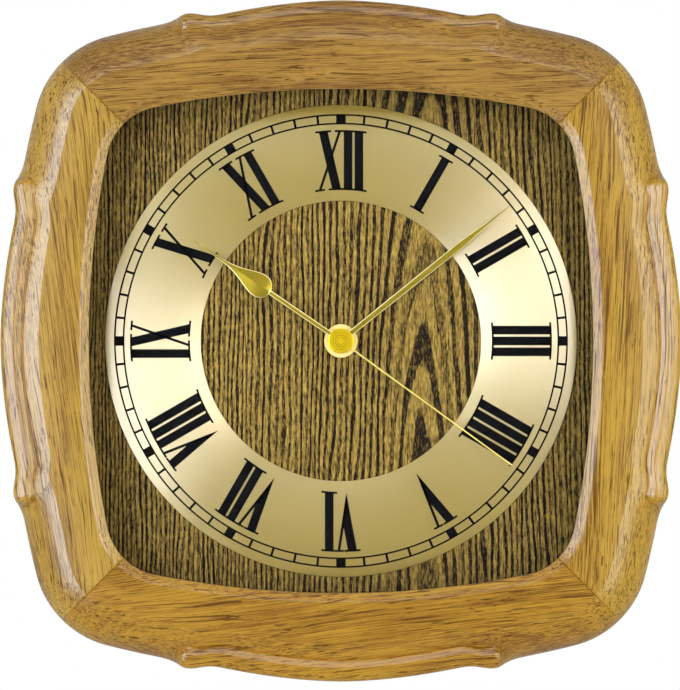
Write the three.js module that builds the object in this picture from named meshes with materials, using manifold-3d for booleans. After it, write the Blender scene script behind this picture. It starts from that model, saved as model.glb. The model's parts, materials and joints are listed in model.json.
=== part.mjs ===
// Radio-controlled wall clock in a carved oak frame, as separate pieces, in millimetres.
//
// It is modelled lying on its back: x to the right, y towards twelve o'clock, z away from the wall,
// with the wall at z = 0 and the spindle on x = y = 0. The exported group then hangs it up: +Z up,
// the dial facing -Y, and the origin where the wall screw carries the hanger plate.

import * as THREE from "three";
import { mergeVertices } from "three/addons/utils/BufferGeometryUtils.js";
import Module from "manifold-3d";

const wasm = await Module();
wasm.setup();

const { clamp, lerp, smoothstep } = THREE.MathUtils;
const DEGREE = Math.PI / 180;
const RIGHT_ANGLE = Math.PI / 2;

// Seen from the front. An outline is a square with bowed sides: half its width, the radius of its
// sides and the radius of its corners.
const SCREW_ABOVE_SPINDLE = 147;
const BODY = { half: 157.1, side: 450, corner: 46 };
const OPENING = { half: 118.2, side: 445, corner: 28 };
const BEVEL_WIDTH = 4.6;
const GLASS_REBATE = 6.2;
const DIAL_REBATE = 11.2;
const SPACER_REBATE = 3.4;
const MITRE_SHIFT = 0.21;
const FIT = 0.3;
const TURNS = { top: 0, left: 90, bottom: 180, right: 270 };

// Degrees from the middle of a side to its corner, closer together where the outline turns
const OUTLINE_STATIONS = [0, 14, 28, 36, 40.5, 45];
const RAIL_STATIONS = [0, 11, 19, 22.5, 24.9, 26.3, 27.3, 28.3, 31, 37, 41, 45];

// The rim along each side is a bead on the shoulder, bowed out in a shallow lobe between two ears. At
// each ear it ends in a rounded nub.
const LOBE_RISE = 2.9;
const LOBE_REACH = 54;
const LOBE_FADE_FROM = 58;
const LOBE_POWER = 1.5;
const EAR_PLACE = 70.6;
const EAR_RISE = 2.78;
const EAR_WIDTH = 7.3;
const RIM_END = 78.6;
const NUB = { middle: 4.8, half: 5.4, dome: 5 };

// Heights above the wall
const CROWN = 51.9;
const BEVEL_TOP = 50.5;
const LIP_FRONT = 46.8;
const LIP_BACK = 45.7;
const SHOULDER_TOP = 51.2;
const SIDE_TOP = 26;
const BACK_CHAMFER = 1.6;
const GLASS_FRONT = LIP_BACK - FIT;
const GLASS_BACK = GLASS_FRONT - 2;
const BOARD_BACK = 26;
const BOARD_FRONT = 29;
const ON_BOARD = BOARD_FRONT + FIT;
const RING_THICK = 0.6;

// The front of a rail from the end of its face: how far in from the body outline, how much of the ear
// and lobe it takes up, and its height, down the shoulder and over the bead. Where there is no rim, the
// same points lie on a round-over, which leaves the face at an angle: the start of its arc in degrees.
const SHOULDER_WIDTH = 17.5;
const RIM_PROFILE = [
  [SHOULDER_WIDTH, 0.7, SHOULDER_TOP],
  [14, 0.8, 49.4],
  [10.2, 1, 47.1],
  [6.5, 1, 48.6],
  [3.6, 1, 48.1],
  [1.6, 1, 46.4],
  [0.5, 1, 43.4],
  [0, 1, 35],
];
const ROUND_OVER_START = 25;

// Chapter ring and what clamps the movement to the dial board
const RING_INNER = 66;
const RING_OUTER = 111;
const POST_RADIUS = 4;
const POST_TOP = 33.2;
const POST_CLEAR = 0.35;
const RUBBER_RADIUS = 9;
const WASHER = { radius: 7.85, front: BOARD_FRONT + 0.9 };
const NUT = { corner: 6.3, back: BOARD_FRONT + 1.2, front: BOARD_FRONT + 3.4 };

// Hands: how far each is turned clockwise from twelve, its height, length, hub and half its stem
const HAND_THICK = 0.4;
const PRESS_CLEAR = 0.1;
const HOUR = { turn: 304.3, z: 34.3, tip: 85.7, hub: 4.4, stem: 1.05, collet: 3.6 };
const MINUTE = { turn: 51.3, z: 36.9, tip: 101.8, hub: 3.9, stem: 1.2, collet: 3.2 };
const SECOND = { turn: 126, z: 39, tip: 99.5, hub: 3.2, stem: 0.45, bore: 1.4 };
const CAP = { radius: 5.95, rim: 0.8, edge: 0.5, boss: 1.1, bossBack: 38.5, boreFront: 40.4 };

// One side of each hand from its stem to its tip, as half width and distance from the hub. The hour
// hand's pear shape is two curves: two control points and an end each.
const SPADE_STEM_END = 40.6;
const SPADE_CURVES = [
  [[3.6, 40.9], [5.65, 43.2], [5.65, 46.3]],
  [[5.65, 51.5], [1.5, 56], [0.75, 66]],
];
const LANCE_WIDEST = [1.6, 73];
const NEEDLE_END = [0.3, 99];

// Screws through the rim of the dial board into the rebate of each rail
const DIAL_SCREW = {
  y: 126.9, shank: 1, head: 2.6, crown: 1.8, headBack: 23.9, edge: 0.8, tip: 37, point: 2,
};
const DIAL_SCREW_SLOT = { reach: 3, half: 0.35, depth: 0.7 };

// Hanger plate in the back of the top rail, with its keyhole, screws and the room for a screw head
const HANGER = { width: 44, height: 20, middle: 143.5, thick: 1.2, corner: 3, screws: 17 };
const KEYHOLE = { headY: 140.5, headRadius: 4.5, slotHalf: 2.6 };
const HEAD_ROOM = { half: 6, below: 6, above: 5, corner: 5, depth: 8 };
const HANGER_SCREW = { head: 2.9, headBack: 0.1, shank: 1.3, straight: 10, tip: 12, pilot: 13 };
const HANGER_SCREW_SLOT = { reach: 3.2, half: 0.4, depth: 0.6 };
const COUNTERSINK = { wide: 4.4, narrow: 1.7, past: 0.5 };

// Movement housing, its battery bay and what stands in it
const CASE_HALF = 35;
const CASE_CORNER = 4;
const CASE_WALL = 1.5;
const CASE_BACK = 5;
const CASE_SPLIT = 14;
const CASE_FRONT = 24.7;
const CASE_INSIDE = CASE_FRONT - CASE_WALL;
const CASE_ROOT = CASE_INSIDE + 0.5;
const COVER_INSIDE = CASE_BACK + CASE_WALL;
const HOLLOW_HALF = CASE_HALF - CASE_WALL;
const BATTERY = {
  radius: 7.25, left: -24.9, right: 24.3, edge: 0.5, nub: 1.2, nubRadius: 2.7, y: -25.4, z: 14,
};
const BAY = { half: 26.6, low: -33.2, high: -17.6, corner: 1, rib: 1.2, clear: 0.6 };
const CRADLE = { x: 14, half: 1, back: 18.5 };
const CONTACT_PLATE = { half: 5, thick: 0.5 };
const CONTACT_LEAF = { half: 5.5, wide: 4, thick: 0.4, behind: 1.5, bow: 2.1 };
const ANTENNA = { radius: 4, half: 28, y: 27.5, z: 15.5, clear: 0.5, coilRadius: 5.5, coilHalf: 15 };
const SADDLE = { x: 22, half: 1, reach: 5, back: 17.5 };
const CIRCUIT = { left: -31, right: 31, low: 16.5, high: 32.5, corner: 1, back: 8.4, front: 9.4 };
const CRYSTAL = { radius: 1, half: 3, x: -25, y: 19 };
const BUTTON = { y: 24, radius: 2.2, collar: 3, edge: 0.4, back: 3.9, inner: 7.4 };
const BUTTON_PLACES = { set_button: 10, reset_button: 18, receive_button: 26 };

// Plates that carry the arbors, and the pillars and seats between them
const PLATE = { left: -17, right: 25.5, low: -12, high: 15.5, corner: 3 };
const MID_PLATE = { back: 16.7, front: 17.7 };
const REAR_BRIDGE = { back: 9, front: 10 };
const PILLAR = { radius: 1.5, places: [[-9, -9.5], [12, -9.5], [0, 13]] };
const MOTOR_SEAT = { radius: 1.2, rises: [-11, 9.3] };

// Stepping motors: a rotor hole in one limb of a plate, the coil on the other limb
const STATOR = { back: 13.9, front: 14.9, limb: 3.15, coreAway: 6.33, coreHalf: 1, half: 13, window: 10 };
const ROTOR_HOLE = 2.4;
const MAGNET_RADIUS = 2;
const SPOOL = { bore: 1.5, winding: 2.4, flange: 2.8, half: 9.5, flangeThick: 0.9 };

// Gears: train wheels share one module, the motion work another. A tooth's corners are given by
// their height over the pitch circle, in modules, and their place along it, in tooth pitches.
const TRAIN_MODULE = 0.4;
const MOTION_MODULE = 0.32;
const WHEEL_TOOTH = [[0.8, -0.1], [0.8, 0.1], [-1.8, 0.5]];
const PINION_TOOTH = [[-1.2, -0.2], [0.6, -0.06], [0.6, 0.06], [-1.2, 0.2]];
const TEETH = { pinion: 6, rotorWheel: 30, wheel: 36, cannon: 10, motion: 30, motionPinion: 8, hour: 32 };
const SECONDS_LEAN = 150 * DEGREE;
const MINUTE_LEAN = 30 * DEGREE;

// Where each gear lies along its arbor, back and front. A pinion is wider than the wheel it meets.
const LEVEL = {
  rotorPinion: [10.7, 12.1],
  rotorWheel: [10.9, 11.9],
  secondsPinion: [12.4, 14],
  secondsWheel: [12.7, 13.7],
  magnet: [13.6, 15.2],
  fastPinion: [14.2, 15.9],
  slowWheel: [14.6, 15.6],
  slowPinion: [17.9, 19.6],
  centreWheel: [18.3, 19.3],
  cannonPinion: [19, 21.6],
  motionWheel: [20.3, 21.3],
  motionPinion: [21, 22.9],
  hourWheel: [21.9, 22.9],
};
const ARBOR = { radius: 0.5, back: 9.3, front: 17.4, slowFront: 21.5, secondsFront: 40.1 };
const PIVOT_HOLE = 0.7;
const CENTRE_TUBE = { outer: 1.2, bore: 0.75, top: 37.9 };
const HOUR_TUBE = { outer: 2.3, bore: 1.45, clear: 0.25, top: 35 };
const STUD = { radius: 0.55, back: 19.9 };
const PIVOT_BOSS = { radius: 1.6, back: 20.2, boreBack: 20, boreFront: 22 };

// How finely round forms are cut, and a reach that is past the whole clock
const FACETS = { arbor: 6, pin: 8, screw: 10, coil: 12, tube: 16, cap: 20, chapter: 48 };
const ARC = { fine: 6, hole: 5, keyhole: 4, corner: 3, small: 2 };
const BEYOND = 60;
const PROUD = 1;

const FINISH = {
  oak: { color: 0xb8914c, roughness: 0.45, metalness: 0 },
  glass: { color: 0xf4f8f6, roughness: 0.05, metalness: 0, transparent: true, opacity: 0.15 },
  fibre: { color: 0x2a241c, roughness: 0.8, metalness: 0 },
  veneer: { color: 0x5f4f33, roughness: 0.55, metalness: 0 },
  goldAluminium: { color: 0xd8cc80, roughness: 0.3, metalness: 1 },
  brass: { color: 0xd8b348, roughness: 0.25, metalness: 1 },
  steel: { color: 0xb5b7b8, roughness: 0.35, metalness: 1 },
  zinc: { color: 0xb9b4a3, roughness: 0.4, metalness: 1 },
  blackPlastic: { color: 0x1b1b1c, roughness: 0.55, metalness: 0 },
  whitePlastic: { color: 0xe6e2d8, roughness: 0.5, metalness: 0 },
  rubber: { color: 0x161616, roughness: 0.9, metalness: 0 },
  ferrite: { color: 0x2d2c2e, roughness: 0.7, metalness: 0.2 },
  copper: { color: 0xb56a3c, roughness: 0.35, metalness: 1 },
  circuit: { color: 0x1f5a35, roughness: 0.5, metalness: 0 },
  cell: { color: 0x3d4a57, roughness: 0.35, metalness: 0.6 },
};

// Closed geometry and booleans

function signedVolume(position, index) {
  const a = new THREE.Vector3();
  const b = new THREE.Vector3();
  const c = new THREE.Vector3();
  let sum = 0;
  for (let i = 0; i < index.count; i += 3) {
    a.fromBufferAttribute(position, index.getX(i));
    b.fromBufferAttribute(position, index.getX(i + 1));
    c.fromBufferAttribute(position, index.getX(i + 2));
    sum += a.dot(b.cross(c)) / 6;
  }
  return sum;
}

// Merges shared vertices, drops collapsed triangles and turns the faces outwards
function closed(geometry) {
  const bare = new THREE.BufferGeometry();
  bare.setAttribute("position", geometry.getAttribute("position").clone());
  if (geometry.index) {
    bare.setIndex(geometry.index.clone());
  }
  const merged = mergeVertices(bare, 1e-4);
  const flip = signedVolume(merged.getAttribute("position"), merged.index) < 0;
  const kept = [];
  for (let i = 0; i < merged.index.count; i += 3) {
    const a = merged.index.getX(i);
    const b = merged.index.getX(i + 1);
    const c = merged.index.getX(i + 2);
    if (a !== b && b !== c && c !== a) {
      kept.push(a, ...(flip ? [c, b] : [b, c]));
    }
  }
  merged.setIndex(kept);
  return merged;
}

function toSolid(geometry) {
  const shell = closed(geometry);
  return new wasm.Manifold(new wasm.Mesh({
    numProp: 3,
    vertProperties: new Float32Array(shell.getAttribute("position").array),
    triVerts: new Uint32Array(shell.index.array),
  }));
}

function toGeometry(solid) {
  const mesh = solid.getMesh();
  const geometry = new THREE.BufferGeometry();
  geometry.setAttribute("position", new THREE.BufferAttribute(new Float32Array(mesh.vertProperties), 3));
  geometry.setIndex(Array.from(mesh.triVerts));
  return geometry;
}

function join(...geometries) {
  const [first, ...rest] = geometries.map(toSolid);
  return toGeometry(rest.reduce((sum, solid) => sum.add(solid), first));
}

function cut(base, ...tools) {
  return toGeometry(tools.map(toSolid).reduce((left, tool) => left.subtract(tool), toSolid(base)));
}

// Plain forms: prism along z, block between two corners, turned form about z

function prism(shape, from, to, curveSegments = ARC.fine) {
  const options = { depth: to - from, bevelEnabled: false, curveSegments };
  return new THREE.ExtrudeGeometry(shape, options).translate(0, 0, from);
}

function block([x0, y0, z0], [x1, y1, z1]) {
  const box = new THREE.BoxGeometry(x1 - x0, y1 - y0, z1 - z0);
  return box.translate((x0 + x1) / 2, (y0 + y1) / 2, (z0 + z1) / 2);
}

function turned(profile, sides) {
  const points = profile.map(([radius, height]) => new THREE.Vector2(radius, height));
  return new THREE.LatheGeometry(points, sides).rotateX(RIGHT_ANGLE);
}

function rod(radius, from, to, sides, [x, y] = [0, 0]) {
  const profile = [[0, from], [radius, from], [radius, to], [0, to]];
  return turned(profile, sides).translate(x, y, 0);
}

function ring(inner, outer, from, to, sides) {
  return turned([[inner, from], [outer, from], [outer, to], [inner, to], [inner, from]], sides);
}

function alongX(geometry, x, y, z) {
  return geometry.rotateY(RIGHT_ANGLE).translate(x, y, z);
}

function roundedRectangle(left, low, right, high, radius) {
  const shape = new THREE.Shape();
  shape.absarc(right - radius, high - radius, radius, 0, RIGHT_ANGLE);
  shape.absarc(left + radius, high - radius, radius, RIGHT_ANGLE, 2 * RIGHT_ANGLE);
  shape.absarc(left + radius, low + radius, radius, 2 * RIGHT_ANGLE, 3 * RIGHT_ANGLE);
  shape.absarc(right - radius, low + radius, radius, 3 * RIGHT_ANGLE, 4 * RIGHT_ANGLE);
  return shape;
}

function circleHole([x, y], radius) {
  return new THREE.Path().absarc(x, y, radius, 0, 2 * Math.PI, true);
}

// The bowed square in polar form. A side is an arc centred behind the middle of the clock, a corner
// is an arc centred on the diagonal, and the two meet on one tangent.

function offset(outline, by) {
  return { half: outline.half + by, side: outline.side + by, corner: outline.corner + by };
}

function polar({ half, side, corner }, phi) {
  const behind = half - side;
  const diagonal = (Math.SQRT2 * behind + Math.sqrt(4 * (side - corner) ** 2 - 2 * behind ** 2)) / 2;
  const centre = diagonal / Math.SQRT2;
  const meet = Math.atan2(centre, centre - behind);
  const change = Math.atan2(side * Math.sin(meet), behind + side * Math.cos(meet));
  const turn = Math.abs(phi);
  if (turn < change) {
    return behind * Math.cos(turn) + Math.sqrt(side ** 2 - (behind * Math.sin(turn)) ** 2);
  }
  const off = Math.PI / 4 - turn;
  return diagonal * Math.cos(off) + Math.sqrt(corner ** 2 - (diagonal * Math.sin(off)) ** 2);
}

function mirroredStations(half) {
  return [...half.slice(1).reverse().map((a) => -a), ...half].map((a) => a * DEGREE);
}

function outlineShape(outline) {
  const side = mirroredStations(OUTLINE_STATIONS).slice(1);
  const quarters = [0, 1, 2, 3].map((k) => k * RIGHT_ANGLE);
  const around = quarters.flatMap((quarter) => side.map((phi) => [quarter + phi, polar(outline, phi)]));
  return new THREE.Shape(around.map(([a, r]) => new THREE.Vector2(r * Math.cos(a), r * Math.sin(a))));
}

// Frame rails: each is a loft of sections in planes through the spindle, so its ends are the mitres

function rimBump(along) {
  const fade = 1 - smoothstep(along, LOBE_FADE_FROM, RIM_END);
  const lobe = fade * LOBE_RISE * (1 - (along / LOBE_REACH) ** LOBE_POWER);
  const ear = EAR_RISE * Math.exp(-(((along - EAR_PLACE) / EAR_WIDTH) ** 2));
  return lobe + ear;
}

// How much of the bead is there, 0 to 1: its end is a quarter round that draws back towards its edges
function beadShare(along, inset) {
  const across = clamp((inset - NUB.middle) / NUB.half, -1, 1);
  const end = RIM_END - NUB.half * (1 - Math.sqrt(1 - across ** 2));
  const past = clamp((along - end + NUB.dome) / NUB.dome, 0, 1);
  return Math.sqrt(1 - past ** 2);
}

function shoulder(phi, along, bump) {
  const start = ROUND_OVER_START * DEGREE;
  return RIM_PROFILE.map(([inset, share, rimHeight]) => {
    const sine = lerp(1, Math.sin(start), inset / SHOULDER_WIDTH);
    const fall = Math.sqrt(1 - sine ** 2) / Math.cos(start);
    const height = lerp(lerp(SIDE_TOP, SHOULDER_TOP, fall), rimHeight, beadShare(along, inset));
    return [polar(offset(BODY, -inset), phi) + (share * bump) / Math.cos(phi), height];
  });
}

function railSection(phi) {
  const body = polar(BODY, phi);
  const along = body * Math.sin(Math.abs(phi));
  const bump = rimBump(along);
  const front = shoulder(phi, along, bump);
  const edge = body + bump / Math.cos(phi);
  const at = (rebate) => polar(offset(OPENING, rebate), phi);
  const [[faceEnd]] = front;
  return [
    [at(0), LIP_BACK],
    [at(0), LIP_FRONT],
    [at(BEVEL_WIDTH), BEVEL_TOP],
    [(at(BEVEL_WIDTH) + faceEnd) / 2, CROWN],
    ...front,
    [edge, BACK_CHAMFER],
    [edge - BACK_CHAMFER, 0],
    [at(DIAL_REBATE), 0],
    [at(DIAL_REBATE), ON_BOARD],
    [at(GLASS_REBATE), ON_BOARD],
    [at(GLASS_REBATE), LIP_BACK],
  ];
}

// A closed solid through like sections, each a closed loop, with flat ends
function loft(sections, endOutline) {
  const count = sections[0].length;
  const positions = sections.flat().flatMap((p) => [p.x, p.y, p.z]);
  const index = [];
  for (let s = 0; s + 1 < sections.length; s += 1) {
    for (let k = 0; k < count; k += 1) {
      const here = s * count + k;
      const next = s * count + ((k + 1) % count);
      index.push(here, next, here + count, next, next + count, here + count);
    }
  }
  const last = (sections.length - 1) * count;
  const { area, triangulateShape } = THREE.ShapeUtils;
  for (const corners of triangulateShape(endOutline, [])) {
    const against = area(corners.map((k) => endOutline[k])) * area(endOutline) < 0;
    const [a, b, c] = against ? corners.reverse() : corners;
    index.push(a, c, b, last + a, last + b, last + c);
  }
  const geometry = new THREE.BufferGeometry();
  geometry.setAttribute("position", new THREE.Float32BufferAttribute(positions, 3));
  geometry.setIndex(index);
  return geometry;
}

function railGeometry() {
  const angles = mirroredStations(RAIL_STATIONS);
  const profiles = angles.map(railSection);
  const sections = angles.map((phi, s) => profiles[s].map(([r, z]) =>
    new THREE.Vector3(r * Math.sin(phi), r * Math.cos(phi) + MITRE_SHIFT, z)));
  const end = profiles[0].map(([r, z]) => new THREE.Vector2(r, z));
  return loft(sections, end);
}

function frameRails() {
  const { shank, tip, y } = DIAL_SCREW;
  const rail = cut(railGeometry(), rod(shank + FIT, BOARD_BACK, tip + FIT, FACETS.pin, [0, y]));
  return Object.entries(TURNS).map(([side, turn]) => {
    const geometry = side === "top" ? cut(rail, ...hangerPockets()) : rail.clone();
    const mesh = piece(`frame_rail_${side}`, geometry, FINISH.oak);
    mesh.rotation.z = turn * DEGREE;
    return mesh;
  });
}

// Hanger plate with its keyhole, let into the back of the top rail

function hangerOutline(by) {
  const { width, height, middle, corner } = HANGER;
  const reach = width / 2 + by;
  const rise = height / 2 + by;
  return roundedRectangle(-reach, middle - rise, reach, middle + rise, corner);
}

function hangerPockets() {
  const { middle, thick, screws } = HANGER;
  const { half, below, above, corner, depth } = HEAD_ROOM;
  const room = roundedRectangle(-half, KEYHOLE.headY - below, half, SCREW_ABOVE_SPINDLE + above, corner);
  const pilots = [-screws, screws].map((x) =>
    rod(HANGER_SCREW.shank + FIT, -PROUD, HANGER_SCREW.pilot, FACETS.pin, [x, middle]));
  return [prism(hangerOutline(FIT), -PROUD, thick + FIT, ARC.small),
    prism(room, -PROUD, depth, ARC.corner), ...pilots];
}

function keyholePath() {
  const { headY, headRadius, slotHalf } = KEYHOLE;
  const meet = Math.asin(slotHalf / headRadius);
  const path = new THREE.Path();
  path.absarc(0, SCREW_ABOVE_SPINDLE, slotHalf, 0, Math.PI);
  path.absarc(0, headY, headRadius, RIGHT_ANGLE + meet, 5 * RIGHT_ANGLE - meet);
  return path;
}

function hangerPlate() {
  const { middle, thick, screws } = HANGER;
  const { wide, narrow, past } = COUNTERSINK;
  const shape = hangerOutline(0);
  shape.holes.push(keyholePath());
  const sink = [[0, -PROUD], [wide, -PROUD], [narrow, thick + past], [0, thick + past]];
  const sinks = [-screws, screws].map((x) => turned(sink, FACETS.screw).translate(x, middle, 0));
  return [piece("hanger_plate", cut(prism(shape, 0, thick, ARC.keyhole), ...sinks), FINISH.zinc)];
}

function hangerScrews() {
  const { middle, thick, screws } = HANGER;
  const { head, headBack, shank, straight, tip } = HANGER_SCREW;
  const { reach, half, depth } = HANGER_SCREW_SLOT;
  const profile = [[0, headBack], [head, headBack], [shank, thick], [shank, straight], [0, tip]];
  const slot = block([-reach, -half, -PROUD], [reach, half, depth]);
  const screw = cut(turned(profile, FACETS.screw), slot);
  return Object.entries({ left: -screws, right: screws }).map(([side, x]) =>
    piece(`hanger_screw_${side}`, screw.clone().translate(x, middle, 0), FINISH.zinc));
}

// Glazing and dial

function glazing() {
  const outline = offset(OPENING, GLASS_REBATE - FIT);
  const glass = prism(outlineShape(outline), GLASS_BACK, GLASS_FRONT);
  const frame = outlineShape(outline);
  frame.holes.push(new THREE.Path(outlineShape(offset(OPENING, SPACER_REBATE)).getPoints()));
  const spacer = prism(frame, ON_BOARD, GLASS_BACK - FIT);
  return [piece("glass_pane", glass, FINISH.glass), piece("spacer_frame", spacer, FINISH.fibre)];
}

function dial() {
  const { y, shank } = DIAL_SCREW;
  const shape = outlineShape(offset(OPENING, DIAL_REBATE - FIT));
  shape.holes.push(circleHole([0, 0], POST_RADIUS + POST_CLEAR));
  Object.values(TURNS).map((turn) => turn * DEGREE).forEach((a) =>
    shape.holes.push(circleHole([-y * Math.sin(a), y * Math.cos(a)], shank + FIT)));
  const chapter = ring(RING_INNER, RING_OUTER, ON_BOARD, ON_BOARD + RING_THICK, FACETS.chapter);
  return [
    piece("dial_board", prism(shape, BOARD_BACK, BOARD_FRONT, ARC.hole), FINISH.veneer),
    piece("chapter_ring", chapter, FINISH.goldAluminium),
  ];
}

function dialScrews() {
  const { y, head, crown, headBack, edge, shank, tip, point } = DIAL_SCREW;
  const { reach, half, depth } = DIAL_SCREW_SLOT;
  const seat = BOARD_BACK - FIT;
  const profile = [[0, headBack], [crown, headBack], [head, seat - edge], [head, seat], [shank, seat],
    [shank, tip - point], [0, tip]];
  const slot = block([-reach, -half, headBack - PROUD], [reach, half, headBack + depth]);
  const screw = cut(turned(profile, FACETS.screw), slot).translate(0, y, 0);
  return Object.entries(TURNS).map(([side, turn]) => {
    const mesh = piece(`dial_screw_${side}`, screw.clone(), FINISH.steel);
    mesh.rotation.z = turn * DEGREE;
    return mesh;
  });
}

// What clamps the movement to the dial board
function spindleFixings() {
  const bore = POST_RADIUS + POST_CLEAR;
  const corners = [0, 1, 2, 3, 4, 5].map((k) => (k * Math.PI) / 3);
  const hexagon = new THREE.Shape(corners.map((a) =>
    new THREE.Vector2(NUT.corner * Math.cos(a), NUT.corner * Math.sin(a))));
  hexagon.holes.push(circleHole([0, 0], bore));
  const rubber = ring(bore, RUBBER_RADIUS, CASE_FRONT + FIT, BOARD_BACK - FIT, FACETS.tube);
  const washer = ring(bore, WASHER.radius, ON_BOARD, WASHER.front, FACETS.cap);
  return [
    piece("rubber_washer", rubber, FINISH.rubber),
    piece("fixing_washer", washer, FINISH.brass),
    piece("central_nut", prism(hexagon, NUT.back, NUT.front, ARC.hole), FINISH.brass),
  ];
}

// Hands, each drawn pointing at twelve o'clock about its own hub

function handPlate({ hub, stem, tip, z }, bore, drawUp, drawDown) {
  const lean = Math.asin(stem / hub);
  const shape = new THREE.Shape();
  shape.absarc(0, 0, hub, RIGHT_ANGLE + lean, 5 * RIGHT_ANGLE - lean);
  drawUp(shape);
  shape.lineTo(0, tip);
  drawDown(shape);
  shape.holes.push(circleHole([0, 0], bore));
  return prism(shape, z, z + HAND_THICK);
}

// A straight-sided hand: one corner on each side
function straightHand(size, bore, [x, y]) {
  return handPlate(size, bore, (shape) => shape.lineTo(x, y), (shape) => shape.lineTo(-x, y));
}

function spadeHand(size, bore) {
  const [[a, b, belly], [c, d, neck]] = SPADE_CURVES;
  const other = ([x, y]) => [-x, y];
  const up = (shape) => {
    shape.lineTo(size.stem, SPADE_STEM_END);
    shape.bezierCurveTo(...a, ...b, ...belly);
    shape.bezierCurveTo(...c, ...d, ...neck);
  };
  const down = (shape) => {
    shape.lineTo(...other(neck));
    shape.bezierCurveTo(...other(d), ...other(c), ...other(belly));
    shape.bezierCurveTo(...other(b), ...other(a), -size.stem, SPADE_STEM_END);
  };
  return handPlate(size, bore, up, down);
}

function hourHand() {
  const bore = HOUR_TUBE.outer + PRESS_CLEAR;
  const collet = ring(bore, HOUR.collet, POST_TOP + FIT, HOUR.z - FIT, FACETS.tube);
  return [
    piece("hour_hand", spadeHand(HOUR, bore), FINISH.brass),
    piece("hour_hand_collet", collet, FINISH.brass),
  ];
}

function minuteHand() {
  const bore = CENTRE_TUBE.outer + PRESS_CLEAR;
  const collet = ring(bore, MINUTE.collet, HOUR_TUBE.top + FIT, MINUTE.z - FIT, FACETS.tube);
  return [
    piece("minute_hand", straightHand(MINUTE, bore, LANCE_WIDEST), FINISH.brass),
    piece("minute_hand_collet", collet, FINISH.brass),
  ];
}

// The second hand's cap: a disc with a boss that presses onto the seconds arbor
function secondHand() {
  const { radius, rim, edge, boss, bossBack, boreFront } = CAP;
  const back = SECOND.z + HAND_THICK + FIT;
  const front = back + rim + edge;
  const bore = ARBOR.radius + PRESS_CLEAR;
  const profile = [[0, boreFront], [bore, boreFront], [bore, bossBack], [boss, bossBack], [boss, back],
    [radius, back], [radius, back + rim], [radius - edge, front], [0, front]];
  return [
    piece("second_hand", straightHand(SECOND, SECOND.bore, NEEDLE_END), FINISH.brass),
    piece("second_hand_cap", turned(profile, FACETS.cap), FINISH.brass),
  ];
}

// Gears

function gearShape(teeth, module, tooth, phase) {
  const step = (2 * Math.PI) / teeth;
  const points = [];
  for (let k = 0; k < teeth; k += 1) {
    for (const [height, share] of tooth) {
      const radius = module * (teeth / 2 + height);
      const angle = phase + (k + share) * step;
      points.push(new THREE.Vector2(radius * Math.cos(angle), radius * Math.sin(angle)));
    }
  }
  return new THREE.Shape(points);
}

function wheel(teeth, module, [from, to], phase) {
  return prism(gearShape(teeth, module, WHEEL_TOOTH, phase), from, to);
}

function pinion(teeth, module, [from, to]) {
  return prism(gearShape(teeth, module, PINION_TOOTH, 0), from, to);
}

// Turn of a wheel that puts one of its gaps against a leaf of the unturned pinion in that direction
function meshPhase(pinionLeaves, wheelTeeth, direction) {
  const step = (2 * Math.PI) / wheelTeeth;
  const leafShare = (direction * pinionLeaves) / (2 * Math.PI);
  return direction + Math.PI - (0.5 - leafShare) * step;
}

function apart(teethA, teethB, module) {
  return ((teethA + teethB) * module) / 2;
}

// Arbor places in the movement. Each train runs outwards from the spindle to its motor.
function arborPlaces() {
  const toTrain = apart(TEETH.pinion, TEETH.wheel, TRAIN_MODULE);
  const toRotor = apart(TEETH.pinion, TEETH.rotorWheel, TRAIN_MODULE);
  const secondsTrain = [toTrain * Math.cos(SECONDS_LEAN), toTrain * Math.sin(SECONDS_LEAN)];
  const minuteSlow = [toTrain * Math.cos(MINUTE_LEAN), toTrain * Math.sin(MINUTE_LEAN)];
  const minuteFast = [minuteSlow[0] + toTrain, minuteSlow[1]];
  return {
    spindle: [0, 0],
    secondsTrain,
    secondsRotor: [secondsTrain[0] - toRotor, secondsTrain[1]],
    minuteSlow,
    minuteFast,
    minuteRotor: [minuteFast[0] + toRotor, minuteFast[1]],
  };
}

const PLACES = arborPlaces();
const MOTION_PLACE = [0, -apart(TEETH.cannon, TEETH.motion, MOTION_MODULE)];

function arbor(front) {
  return rod(ARBOR.radius, ARBOR.back, front, FACETS.arbor);
}

function trainPiece(name, place, finish, ...forms) {
  return piece(name, join(...forms).translate(...place, 0), finish);
}

function rotor(name, place) {
  return trainPiece(name, place, FINISH.steel,
    arbor(ARBOR.front),
    pinion(TEETH.pinion, TRAIN_MODULE, LEVEL.rotorPinion),
    rod(MAGNET_RADIUS, ...LEVEL.magnet, FACETS.coil));
}

// Both trains: rotor pinion to rotor wheel, then a pinion on the same arbor to the next wheel
function secondsTrain() {
  const { pinion: leaves, rotorWheel, wheel: teeth } = TEETH;
  const rotorWheelPhase = meshPhase(leaves, rotorWheel, 0);
  const wheelPhase = meshPhase(leaves, teeth, SECONDS_LEAN + Math.PI);
  return [
    rotor("seconds_rotor", PLACES.secondsRotor),
    trainPiece("seconds_train_wheel", PLACES.secondsTrain, FINISH.whitePlastic,
      arbor(ARBOR.front),
      wheel(rotorWheel, TRAIN_MODULE, LEVEL.rotorWheel, rotorWheelPhase),
      pinion(leaves, TRAIN_MODULE, LEVEL.secondsPinion)),
    trainPiece("seconds_wheel", PLACES.spindle, FINISH.whitePlastic,
      arbor(ARBOR.secondsFront),
      wheel(teeth, TRAIN_MODULE, LEVEL.secondsWheel, wheelPhase)),
  ];
}

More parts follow.
